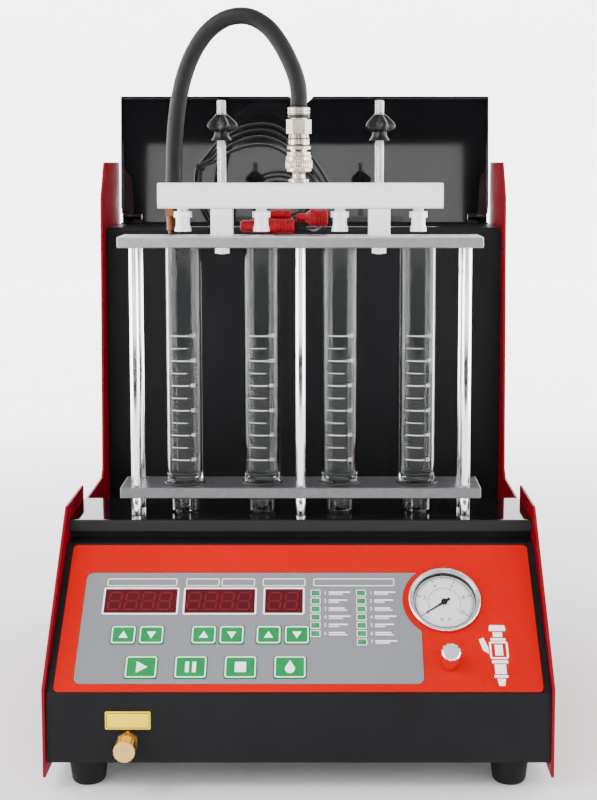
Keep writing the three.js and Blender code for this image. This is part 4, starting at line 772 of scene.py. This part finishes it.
def make_coupler_details():
    grip = [(10.5, 524.2), (12, 524.2), (12.4, 524.8), (12.4, 531.4), (12, 532), (10.5, 532)]
    settle(coupler_ring("sleeve_grip", grip, 160, grip_wave), "nickel", "sleeve")
    crimps = [(8, 573.8)]
    for start in CRIMP_STARTS:
        crimps += [(10, start), (10.5, start + 0.5), (10.5, start + 1.9), (10, start + 2.4)]
    crimps += [(8, 580)]
    settle(coupler_ring("ferrule_crimps", crimps), "nickel", "rail")
    collar = [(9, 541.6), (10.9, 541.6), (11.2, 542), (11.2, 544.2), (10.9, 544.6), (9, 544.6)]
    settle(coupler_ring("coupler_collar", collar), "nickel", "rail")
    # Black rings fill the seams: painted shade of the gaps between the coupler's parts.
    for i, (low, high, radius) in enumerate(COUPLER_SHADE_RINGS):
        seal = [(8, low), (radius, low), (radius, high), (8, high)]
        settle(coupler_ring(f"coupler_shade_ring_{i + 1}", seal), "seal", "rail")


# Rack details: polished tubes round the posts, and the cups under the lower plate
POSTS = [(-152.5, -87.07), (0, -87.07), (152.5, -87.07), (-152.5, -53.07), (152.5, -53.07)]
POST_SLEEVES = {"upper": (LOWER_PLATE_TOP + 0.2, TUBE_TOP), "lower": (203.5, LOWER_PLATE_BOTTOM)}
CUP_BOTTOM = 205.5
CUP_RADII = (10.9, 12.3)


def make_post_sleeves():
    for part, (low, high) in POST_SLEEVES.items():
        profile = [(4.27, low), (4.5, low), (4.6, low + 0.4), (4.6, high - 0.4), (4.5, high),
                   (4.27, high)]
        for i, (x, y) in enumerate(POSTS):
            sleeve = turned(f"post_sleeve_{part}_{i + 1}", profile, 32, (x, y, 0), ring=True)
            settle(sleeve, "post_steel")


def make_drain_cups():
    """Glass cups, which catch what the tubes let through."""
    low, high = CUP_BOTTOM, LOWER_PLATE_BOTTOM
    inner, outer = CUP_RADII
    profile = [(inner, low), (outer - 0.3, low), (outer, low + 0.4), (outer, high), (inner, high)]
    for i, x in enumerate(TUBE_CENTRES):
        cup = turned(f"drain_cup_{i + 1}", profile, 48, rack_place(x), ring=True)
        settle(cup, "clear_glass")


make_tubes()
make_feet()
make_star_knobs()
make_threads()
make_coupler_details()
make_post_sleeves()
make_drain_cups()


# Flat print: shapes gathered into one mesh in the plane of what carries them
PANEL = shift(0, from_front(3), 86.2) @ turn_about("X", 41)
FILM_TOP = 1.1
KEY_TOP = 2
INK_THICKNESS = 0.08


def arc_points(x, y, radius, start, end, steps):
    turns = [math.radians(start + (end - start) * k / steps) for k in range(steps + 1)]
    return [(x + radius * math.cos(t), y + radius * math.sin(t)) for t in turns]


def rounded(x0, x1, y0, y1, radius, steps=5):
    corners = ((x1 - radius, y0 + radius, -90), (x1 - radius, y1 - radius, 0),
               (x0 + radius, y1 - radius, 90), (x0 + radius, y0 + radius, 180))
    return [point for x, y, start in corners
            for point in arc_points(x, y, radius, start, start + 90, steps)]


def glyph_mesh(words, size):
    data = bpy.data.curves.new("glyphs", "FONT")
    data.body = words
    data.size = size
    data.align_x, data.align_y = "CENTER", "CENTER"
    data.resolution_u = 3
    mesh = bpy.data.meshes.new_from_object(bpy.data.objects.new("glyphs", data))
    points = [tuple(v.co)[:2] for v in mesh.vertices]
    return points, [tuple(face.vertices) for face in mesh.polygons]


class Print:
    """Printed shapes, a thin layer of ink between two heights."""

    def __init__(self, low):
        self.low, self.high = low, low + INK_THICKNESS
        self.points, self.faces = [], []

    def loops(self, loop):
        start = len(self.points)
        self.points += [(x, y, self.low) for x, y in loop] + [(x, y, self.high) for x, y in loop]
        return start

    def plate(self, loop):
        count, start = len(loop), self.loops(loop)
        self.faces.append(tuple(range(start + count, start + 2 * count)))
        for k, j in around(count):
            self.faces.append((start + k, start + j, start + count + j, start + count + k))
        return self

    def ring(self, outer, inner):
        count, a, b = len(outer), self.loops(outer), self.loops(inner)
        for k, j in around(count):
            self.faces.append((a + count + k, a + count + j, b + count + j, b + count + k))
            self.faces.append((a + k, a + j, a + count + j, a + count + k))
            self.faces.append((b + k, b + count + k, b + count + j, b + j))
        return self

    def bar(self, x0, x1, y0, y1, steps=1):
        for k in range(steps):
            left, right = x0 + (x1 - x0) * k / steps, x0 + (x1 - x0) * (k + 1) / steps
            self.plate([(left, y0), (right, y0), (right, y1), (left, y1)])
        return self

    def frame(self, x0, x1, y0, y1, radius, width):
        """An outline with rounded corners, as wide as said."""
        bend = max(radius - width, 0.15)
        inner = rounded(x0 + width, x1 - width, y0 + width, y1 - width, bend)
        return self.ring(rounded(x0, x1, y0, y1, radius), inner)

    def words(self, text, size, at):
        points, faces = glyph_mesh(text, size)
        start = len(self.points)
        self.points += [(x + at[0], y + at[1], self.high) for x, y in points]
        self.faces += [tuple(start + k for k in face) for face in faces]
        return self

    def build(self, name, ink, place, body="housing", slot="white_enamel"):
        shape = place if callable(place) else (lambda point: place @ Vector(point))
        obj = mesh_object(name, [shape(p) for p in self.points], self.faces)
        return settle(obj, ink, body)


# Panel print: display digits, outlines, bare label boxes, lamp numbers and key symbols
DISPLAY_SPANS = [(-173, -106.7), (-102.3, -38), (-31.8, 4.3)]
DISPLAY_HEIGHTS = (75.3, 102.2)
DIGIT_COUNTS = [4, 4, 2]
DIGIT_SIZE = (10.4, 17)
DIGIT_PITCH = 14.6
DIGIT_SLANT = 0.1
DIGIT_SHIFT = -0.8
SEGMENT_WIDTH = 1.9
SEGMENT_GAP = 0.35
LABEL_BOXES = [(-171, -109), (-101, -71.5), (-69.5, -40), (-33, 5), (12, 84)]
LABEL_HEIGHTS = (103.9, 111.6)
LAMP_COLUMNS = [(14.1, 6), (54.3, 7)]
LAMP_FIRST = 96.8
LAMP_PITCH = 8.07
LAMP_SIZE = (6.6, 4.6)
LAMP_MARGIN = 0.35
CAPTION_START = 11.6
CAPTION_BARS = [(30.5, 2.5, 0.3, 1.5), (27.5, 3.5, -1.6, -0.7)]
ARROW_KEYS = {"cycle_up": -151.9, "cycle_down": -127.7, "speed_up": -82.4, "speed_down": -58.3,
              "time_up": -26.4, "time_down": -1.9}
FUNCTION_KEYS = {"start": -133.9, "pause": -91.8, "stop": -49.5, "drain": -7.4}
ARROW_KEY = (21.5, 17.6, 54.9)
FUNCTION_KEY = (27.5, 21, 24.1)


def segment(ends, slant_from):
    """One hexagonal bar of a digit, leaning with the digit."""
    (x0, y0), (x1, y1) = ends
    along = Vector((x1 - x0, y1 - y0)).normalized()
    across = Vector((-along.y, along.x)) * SEGMENT_WIDTH / 2
    gap = along * SEGMENT_GAP
    a, b = Vector((x0, y0)) + gap, Vector((x1, y1)) - gap
    reach = along * SEGMENT_WIDTH / 2
    loop = [a, a + reach - across, b - reach - across, b, b - reach + across, a + reach + across]
    return [(p.x + (p.y - slant_from) * DIGIT_SLANT, p.y) for p in loop]


def digit(print_, x, y):
    """An unlit digit: all seven segments, about its middle."""
    w, h = DIGIT_SIZE[0] / 2, DIGIT_SIZE[1] / 2
    corners = [(x + side, y + rise) for rise in (-h, 0, h) for side in (-w, w)]
    for i, j in ((0, 1), (2, 3), (4, 5), (0, 2), (2, 4), (1, 3), (3, 5)):
        print_.plate(segment((corners[i], corners[j]), y))
    print_.plate(rounded(x + w + 1, x + w + 2.6, y - h - 0.8, y - h + 0.8, 0.6, 3))


def make_display_print():
    digits, outlines = Print(FILM_TOP), Print(FILM_TOP)
    low, high = DISPLAY_HEIGHTS
    for (x0, x1), count in zip(DISPLAY_SPANS, DIGIT_COUNTS):
        middle = (x0 + x1) / 2
        for i in range(count):
            x = middle + (i - (count - 1) / 2) * DIGIT_PITCH + DIGIT_SHIFT
            digit(digits, x, (low + high) / 2)
        outlines.frame(x0 - 0.2, x1 + 0.2, low - 0.2, high + 0.2, 1.6, 1.5)
    for x0, x1 in LABEL_BOXES:
        outlines.frame(x0, x1, *LABEL_HEIGHTS, 1.6, 0.7)
    digits.build("display_digits", "ink_segment", PANEL, slot="display_red")
    outlines.build("display_outlines", "ink_white", PANEL)


def make_lamp_print():
    """Outline, number and two bare bars beside each lamp, the bars in three lengths."""
    lamps = Print(FILM_TOP)
    w, h = LAMP_SIZE[0] / 2 + LAMP_MARGIN, LAMP_SIZE[1] / 2 + LAMP_MARGIN
    for x, count in LAMP_COLUMNS:
        for i in range(count):
            y = LAMP_FIRST - i * LAMP_PITCH
            lamps.frame(x - w - 0.7, x + w + 0.7, y - h - 0.55, y + h + 0.55, 0.9, 0.6)
            lamps.words(str(i + 1), 4.6, (x + 8.6, y))
            for row, (reach, step, low, high) in enumerate(CAPTION_BARS):
                end = x + reach - step * ((i + row) % 3)
                lamps.bar(x + CAPTION_START, end, y + low, y + high)
    lamps.build("lamp_legends", "ink_white", PANEL)


def key_symbols():
    """Loops of each key's symbol about the key's middle."""
    up = [(-4, -3), (4, -3), (0, 3.6)]
    down = [(-4, 3), (0, -3.6), (4, 3)]
    symbols = {name: [up if name.endswith("up") else down] for name in ARROW_KEYS}
    symbols["start"] = [[(-4, -5.4), (5.4, 0), (-4, 5.4)]]
    symbols["pause"] = [[(x, -5), (x + 3.2, -5), (x + 3.2, 5), (x, 5)] for x in (-4.6, 1.4)]
    symbols["stop"] = [rounded(-4.8, 4.8, -4.8, 4.8, 0.6)]
    symbols["drain"] = [[(0, 6.4), *arc_points(0, -1.6, 4.2, 25, -205, 14)]]
    return symbols


def make_key_print():
    symbols = key_symbols()
    rows = [(ARROW_KEYS, ARROW_KEY), (FUNCTION_KEYS, FUNCTION_KEY)]
    for places, (width, height, y) in rows:
        for name, x in places.items():
            place = PANEL @ shift(x, y)
            w, h = width / 2 - 0.5, height / 2 - 0.5
            outline = Print(KEY_TOP).frame(-w, w, -h, h, 2.4, 1.25)
            outline.build(f"key_outline_{name}", "ink_mint", place, f"key_{name}")
            mark = Print(KEY_TOP)
            for loop in symbols[name]:
                mark.plate(loop)
            mark.build(f"key_mark_{name}", "ink_white", place, f"key_{name}")


# Injector drawn as a generic pictogram. Its blocks are given from the top down, by their half
# widths at the foot and at the head, and the heights of the two.
INJECTOR_AT = (171.5, 7)
INJECTOR_BLOCKS = [
    (7.2, 6.5, 52, 57.5), (4, 4, 46.2, 50.8), (6.4, 6.4, 42.6, 45), (3.4, 3.4, 28.4, 38.6),
    (6.8, 6.8, 21, 23.8), (4.8, 4.8, 11, 20), (5.8, 5.8, 7.6, 10), (2.4, 3.6, 0, 6.6),
]
INJECTOR_PLUG = [(-9, 30), (-9, 36), (-12.4, 45.4), (-16.4, 43.6), (-13.6, 33.4)]
INJECTOR_BODY = (-8, 8, 25, 41.8)


def make_pictogram():
    picture = Print(FILM_TOP).plate(INJECTOR_PLUG)
    for foot, head, low, high in INJECTOR_BLOCKS:
        picture.plate([(-head, high), (-foot, low), (foot, low), (head, high)])
    picture.frame(*INJECTOR_BODY, 2, 1.7)
    picture.build("injector_pictogram", "ink_white", PANEL @ shift(*INJECTOR_AT))


# Gauge: scale marks and numbers on the dial, and its smooth bezel
GAUGE_PLACE = PANEL @ shift(127.72, 89)
DIAL_TOP = -1.7
SCALE_START = 214
SCALE_SWEEP = 248
SCALE_STEPS = 50
SCALE_NUMBERS = 5
STEPS_PER_NUMBER = SCALE_STEPS // SCALE_NUMBERS
STEPS_PER_INNER_MARK = 5
MAJOR_MARK = (21.2, 25.4, 0.75)
MINOR_MARK = (23.2, 25.4, 0.35)
INNER_MARK = (12.4, 14.2, 0.4)
NUMBER_RADIUS = 17.9
NUMBER_SIZE = 5.2
DIAL_SCREWS = [("left", -3.2), ("right", 3.2)]
DIAL_SCREW_Y = -17.5


def radial_mark(print_, turn, inner, outer, width):
    along = Vector((math.cos(turn), math.sin(turn)))
    across = Vector((-along.y, along.x)) * width / 2
    start, end = along * inner, along * outer
    print_.plate([tuple(p) for p in (start - across, end - across, end + across, start + across)])


def make_dial_print():
    black, red = Print(DIAL_TOP), Print(DIAL_TOP)
    for i in range(SCALE_STEPS + 1):
        turn = math.radians(SCALE_START - SCALE_SWEEP * i / SCALE_STEPS)
        radial_mark(black, turn, *(MINOR_MARK if i % STEPS_PER_NUMBER else MAJOR_MARK))
        if i % STEPS_PER_INNER_MARK == 0:
            radial_mark(red, turn, *INNER_MARK)
    for i in range(SCALE_NUMBERS + 1):
        turn = math.radians(SCALE_START - SCALE_SWEEP * i / SCALE_NUMBERS)
        at = (NUMBER_RADIUS * math.cos(turn), NUMBER_RADIUS * math.sin(turn))
        black.words(str(2 * i), NUMBER_SIZE, at)
    start, end = SCALE_START, SCALE_START - SCALE_SWEEP
    for print_, inner, outer in ((black, 25.4, 25.9), (red, 14.2, 14.6)):
        far, near = arc_points(0, 0, outer, start, end, 60), arc_points(0, 0, inner, end, start, 60)
        print_.plate(far + near)
    black.build("dial_scale", "ink_black", GAUGE_PLACE)
    red.build("dial_inner_scale", "ink_red", GAUGE_PLACE)
    profile = [(1.5, DIAL_TOP - 0.2), (1.5, DIAL_TOP + 0.4), (1.1, DIAL_TOP + 0.6)]
    for side, x in DIAL_SCREWS:
        place = GAUGE_PLACE @ shift(x, DIAL_SCREW_Y)
        settle(lathe(f"dial_screw_{side}", profile, 20, place), "steel")


def make_bezel():
    profile = [
        (29, -24), (29, 1.4), (32, 1.4), (32, 3.8), (31.75, 4.6), (31.2, 5.15), (30.4, 5.4),
        (29.8, 5.25), (29.4, 4.6), (29.4, 2.8), (27.6, 2.4), (27.4, 1.8), (27.4, -2.8),
    ]
    settle(lathe("gauge_bezel", profile, 96, GAUGE_PLACE), "chrome", node="gauge_case")
    # A dark ring lines the bezel's inner wall above the dial: painted shade of the bezel on the
    # dial's edge.
    bezel_shade_lining = [(27.35, DIAL_TOP), (27.35, 2.6), (27.15, 2.6), (27.05, DIAL_TOP + 0.1)]
    settle(lathe("dial_shade_ring", bezel_shade_lining, 96, GAUGE_PLACE, ring=True), "seal")


make_display_print()
make_lamp_print()
make_key_print()
make_pictogram()
make_dial_print()
make_bezel()


# Tube scales: ticks and numbers wrapped onto the front of each glass
SCALE_TOP = 370.7
SCALE_GAP = 23.2
SCALE_COUNT = 6
SCALE_UNIT = 20
LINE_START = -11.6
LINE_END, LINE_HALF = 5.8, 0.35
SHORT_LINE_END, SHORT_LINE_HALF = 4, 0.25
SCALE_NUMBER_X = 9.8


def make_tube_scales():
    radius = TUBE_RADIUS + 0.03
    for index, x in enumerate(TUBE_CENTRES):
        marks = Print(0)
        for i in range(SCALE_COUNT):
            height = SCALE_TOP - i * SCALE_GAP
            marks.bar(LINE_START, LINE_END, height - LINE_HALF, height + LINE_HALF, 14)
            marks.words(str(SCALE_UNIT * (SCALE_COUNT - i)), 4.8, (SCALE_NUMBER_X, height))
            if i < SCALE_COUNT - 1:
                low = height - SCALE_GAP / 2 - SHORT_LINE_HALF
                high = height - SCALE_GAP / 2 + SHORT_LINE_HALF
                marks.bar(LINE_START, SHORT_LINE_END, low, high, 12)

        def wrap(point, x=x):
            turn, reach = point[0] / radius, radius + point[2]
            return (x + reach * math.sin(turn), RACK_MIDDLE_Y - reach * math.cos(turn), point[1])

        marks.build(f"tube_scale_{index + 1}", "ink_white", wrap)


# Low screws in the side plates and the rear cover, and the marks beside the rocker
PLATE_FACE = 215
PLATE_THICKNESS = 2.5
SIDE_SCREWS = [(18, 42), (18, 76), (150, 42), (300, 42), (455, 42), (455, 230), (455, 420),
               (392, 420), (392, 250), (150, 190), (205, 190)]
INNER_SCREWS = [(352, 214), (352, 330), (352, 440), (152, 212)]
REAR_SCREWS = [(-200, 40), (200, 40), (-200, 245), (200, 245), (-200, 440), (200, 440), (0, 440),
               (0, 40)]
REAR_FACE = from_front(479)
ROCKER_PLACE = (60, from_front(481.35), 84.7)


def screw(name, radius, height, axis, at, coat="steel"):
    """Low head with a socket."""
    socket = radius * 0.42
    profile = [(radius, -0.3), (radius, height * 0.4), (radius * 0.86, height),
               (radius * 0.5, height), (socket, height - 0.1), (socket, -0.1)]
    return settle(turned(name, profile, 24, at, axis), coat)


def make_screws():
    for side, sign in SIDES:
        out, back = ("-X", "X") if sign < 0 else ("X", "-X")
        kinds = [("side", SIDE_SCREWS, 3, 0.4, out, PLATE_FACE),
                 ("inner", INNER_SCREWS, 2.2, 0.9, back, PLATE_FACE - PLATE_THICKNESS)]
        for kind, places, radius, height, axis, face in kinds:
            for i, (y, z) in enumerate(places):
                at = (sign * face, from_front(y), z)
                screw(f"{kind}_screw_{side}_{i + 1}", radius, height, axis, at, "hinge")
    for i, (x, z) in enumerate(REAR_SCREWS):
        screw(f"rear_screw_{i + 1}", 3, 0.6, "Y", (x, REAR_FACE, z))


def make_rocker_marks():
    """A bar and a ring, read from behind."""
    marks = Print(0)
    marks.bar(-0.5, 0.5, 12.8, 15.8)
    marks.ring(arc_points(0, -14.3, 1.6, 0, 345, 23), arc_points(0, -14.3, 1.1, 0, 345, 23))
    place = shift(*ROCKER_PLACE) @ turn_about("Z", 180) @ turn_about("X", 90)
    marks.build("rocker_marks", "ink_white", place)


# Trim: a strip under the lid's apron, covers behind its hinges, and the plate's border
STRIP_Y = (232, 238.4)
STRIP_Z = (460.7, 462.3)
TAB_X = (186.3, 209.5)
TAB_Y = (245.95, 246.95)
TAB_Z = (446, 473.6)
BACKING_Z = (446, 463.5)
TRIM_EDGE = 0.3
PLATE_FRONT = shift(-143.2, -231.17, 56) @ turn_about("X", 90)
PLATE_BORDER = (-18, 18, 1, 14.3)


def box_mesh(name, spans):
    (x0, x1), (y0, y1), (z0, z1) = spans
    points = [(x, y, z) for z in (z0, z1) for x, y in ((x0, y0), (x1, y0), (x1, y1), (x0, y1))]
    walls = [(k, j, j + 4, k + 4) for k, j in around(4)]
    piece = mesh_object(name, points, [(3, 2, 1, 0), (4, 5, 6, 7), *walls])
    bevel = piece.modifiers.new("edges", "BEVEL")
    bevel.width = TRIM_EDGE * MM
    bevel.segments = 2
    return piece


def make_lid_trim():
    near, far = TAB_X
    pieces = [
        ("lid_strip", "rubber", (-far, far), STRIP_Y, STRIP_Z),
        ("apron_backing", "black_steel", (-near, near), TAB_Y, BACKING_Z),
        ("hinge_cover_left", "black_steel", (-far, -near), TAB_Y, TAB_Z),
        ("hinge_cover_right", "black_steel", (near, far), TAB_Y, TAB_Z),
    ]
    for name, coat, *spans in pieces:
        settle(box_mesh(name, spans), coat)


def make_plate_border():
    border = Print(0).frame(*PLATE_BORDER, 1, 0.5)
    border.build("plate_border", "ink_black", PLATE_FRONT, slot="yellow_film")


make_tube_scales()
make_screws()
make_rocker_marks()
make_plate_border()
make_lid_trim()


# Studio: a floor in a round wall, cards that only reflections see, and soft lights. Its own
# sizes and places are in metres, and the cards' in millimetres.
WALL_RADIUS = 6.5
WALL_HEIGHT = 5
CURVE_RADIUS = 1.8
CURVE_STEPS = 20
FLOOR_SIDES = 96
FRONT_GLOW, BACK_GLOW = 0.3, 2.6
GLOW_DEPTH = (-1.5, 1.5)
GLOW_REACH = (0.25, 1.6)
WORLD_GLOW = (0.6, 1.1)
WORLD_RISE = (0.1, 0.21)
LIGHTS = {
    "key_light": ((-1.5, -1.6, 2.4), 1.2, 46),
    "side_light": ((1.8, -0.6, 0.9), 1, 9),
    "left_light": ((-1.8, -0.6, 0.9), 1, 9),
}
LIGHT_TARGET = Vector((0, 0, 0.3))
FLAG_Y = -3000
FLAG_OPENING = (-590, 510)
FLAG_LOW, FLAG_EDGE, FLAG_TOP = 700, 1172, 1900
FLAG_HALF_WIDTH = 1500
FLOOR_CARD_SPAN = (-1200, -4400)
FLOOR_CARD_HALF_WIDTH = 2200
FLOOR_CARD_HEIGHT = 5
REFLECTOR_X = 1300
REFLECTOR_SPAN = (-1000, 600)
REFLECTOR_HEIGHTS = (20, 640)
REFLECTOR_GLOW = 7


def floor_finish():
    """Pale paper, which glows away from the object, and more behind it."""
    paper = Finish("studio_floor", srgb(245, 245, 245), 0.8, specular=0.1).mottle(3, 0.02)
    paper.set("Emission Color", WHITE)
    distance, glow = paper.node("VectorMath"), paper.node("Math")
    distance.operation = "LENGTH"
    glow.operation = "MULTIPLY"
    paper.join(paper.place, distance.inputs[0])
    paper.join(paper.ramp(paper.along("Y"), FRONT_GLOW, BACK_GLOW, *GLOW_DEPTH), glow.inputs[0])
    paper.join(paper.ramp(distance.outputs["Value"], 0, 1, *GLOW_REACH), glow.inputs[1])
    paper.join(glow.outputs["Value"], paper.shader.inputs["Emission Strength"])
    return paper


def make_floor():
    """Floor that curves up into a round wall."""
    profile = []
    for i in range(CURVE_STEPS + 1):
        turn = math.pi / 2 * i / CURVE_STEPS
        reach = WALL_RADIUS - CURVE_RADIUS + CURVE_RADIUS * math.sin(turn)
        profile.append((reach, CURVE_RADIUS - CURVE_RADIUS * math.cos(turn)))
    profile.append((WALL_RADIUS, WALL_HEIGHT))
    points, faces, rows = [], [], len(profile)
    middle = FLOOR_SIDES * rows
    for k in range(FLOOR_SIDES):
        turn = 2 * math.pi * k / FLOOR_SIDES
        points += [(r * math.cos(turn) / MM, r * math.sin(turn) / MM, z / MM) for r, z in profile]
        here, there = k * rows, (k + 1) % FLOOR_SIDES * rows
        faces.append((middle, here, there))
        faces += [(here + i, here + i + 1, there + i + 1, there + i) for i in range(rows - 1)]
    points.append((0, 0, 0))
    floor = mesh_object("floor", points, faces, smooth=True)
    floor.data.materials.append(floor_finish().material)


def make_lights():
    for name, (place, size, power) in LIGHTS.items():
        data = bpy.data.lights.new(name, "AREA")
        data.shape = "RECTANGLE"
        data.size = data.size_y = size
        data.energy = power
        light = link(bpy.data.objects.new(name, data))
        light.location = place
        light.visible_camera = False
        aim = LIGHT_TARGET - Vector(place)
        light.rotation_euler = aim.to_track_quat("-Z", "Y").to_euler()


def for_reflections_only(card, finish):
    """A studio card that gloss and glass show, while it neither lights nor shades."""
    card.data.materials.append(finish.material)
    card.visible_camera = card.visible_diffuse = card.visible_shadow = False


def make_reflectors():
    """Bright upright cards at both sides, which draw the streaks along tubes and posts."""
    (near, far), (low, high) = REFLECTOR_SPAN, REFLECTOR_HEIGHTS
    for side, sign in SIDES:
        x = sign * REFLECTOR_X
        points = [(x, near, low), (x, far, low), (x, far, high), (x, near, high)]
        card = mesh_object(f"reflector_{side}", points, [(0, 1, 2, 3)])
        glow = Finish(f"reflector_glow_{side}", WHITE, 0.9).mottle(3, 0.05)
        glow.set("Emission Color", WHITE).set("Emission Strength", REFLECTOR_GLOW)
        for_reflections_only(card, glow)


def make_flags():
    """Dark cards round an opening above the camera, and one on the floor."""
    left, right = FLAG_OPENING
    half = FLAG_HALF_WIDTH
    spans = [(-half, left, FLAG_LOW, FLAG_EDGE), (right, half, FLAG_LOW, FLAG_EDGE),
             (-half, half, FLAG_EDGE, FLAG_TOP)]
    points = []
    for x0, x1, z0, z1 in spans:
        points += [(x0, FLAG_Y, z0), (x1, FLAG_Y, z0), (x1, FLAG_Y, z1), (x0, FLAG_Y, z1)]
    (near, far), half, z = FLOOR_CARD_SPAN, FLOOR_CARD_HALF_WIDTH, FLOOR_CARD_HEIGHT
    points += [(-half, near, z), (half, near, z), (half, far, z), (-half, far, z)]
    faces = [tuple(range(start, start + 4)) for start in range(0, len(points), 4)]
    flags = mesh_object("flags", points, faces)
    felt = Finish("flag_felt", srgb(6, 6, 6), 0.95, specular=0).mottle(3, 0.1)
    for_reflections_only(flags, felt)


def make_world():
    """White surroundings, a little darker towards the horizon."""
    world = bpy.data.worlds.new("studio")
    world.use_nodes = True
    sky = Nodes(world.node_tree, "Generated")
    background = sky.tree.nodes["Background"]
    sky.join(sky.ramp(sky.along("Z"), *WORLD_GLOW, *WORLD_RISE), background.inputs["Strength"])
    background.inputs["Color"].default_value = WHITE
    bpy.context.scene.world = world


make_floor()
make_flags()
make_reflectors()
make_world()
make_lights()
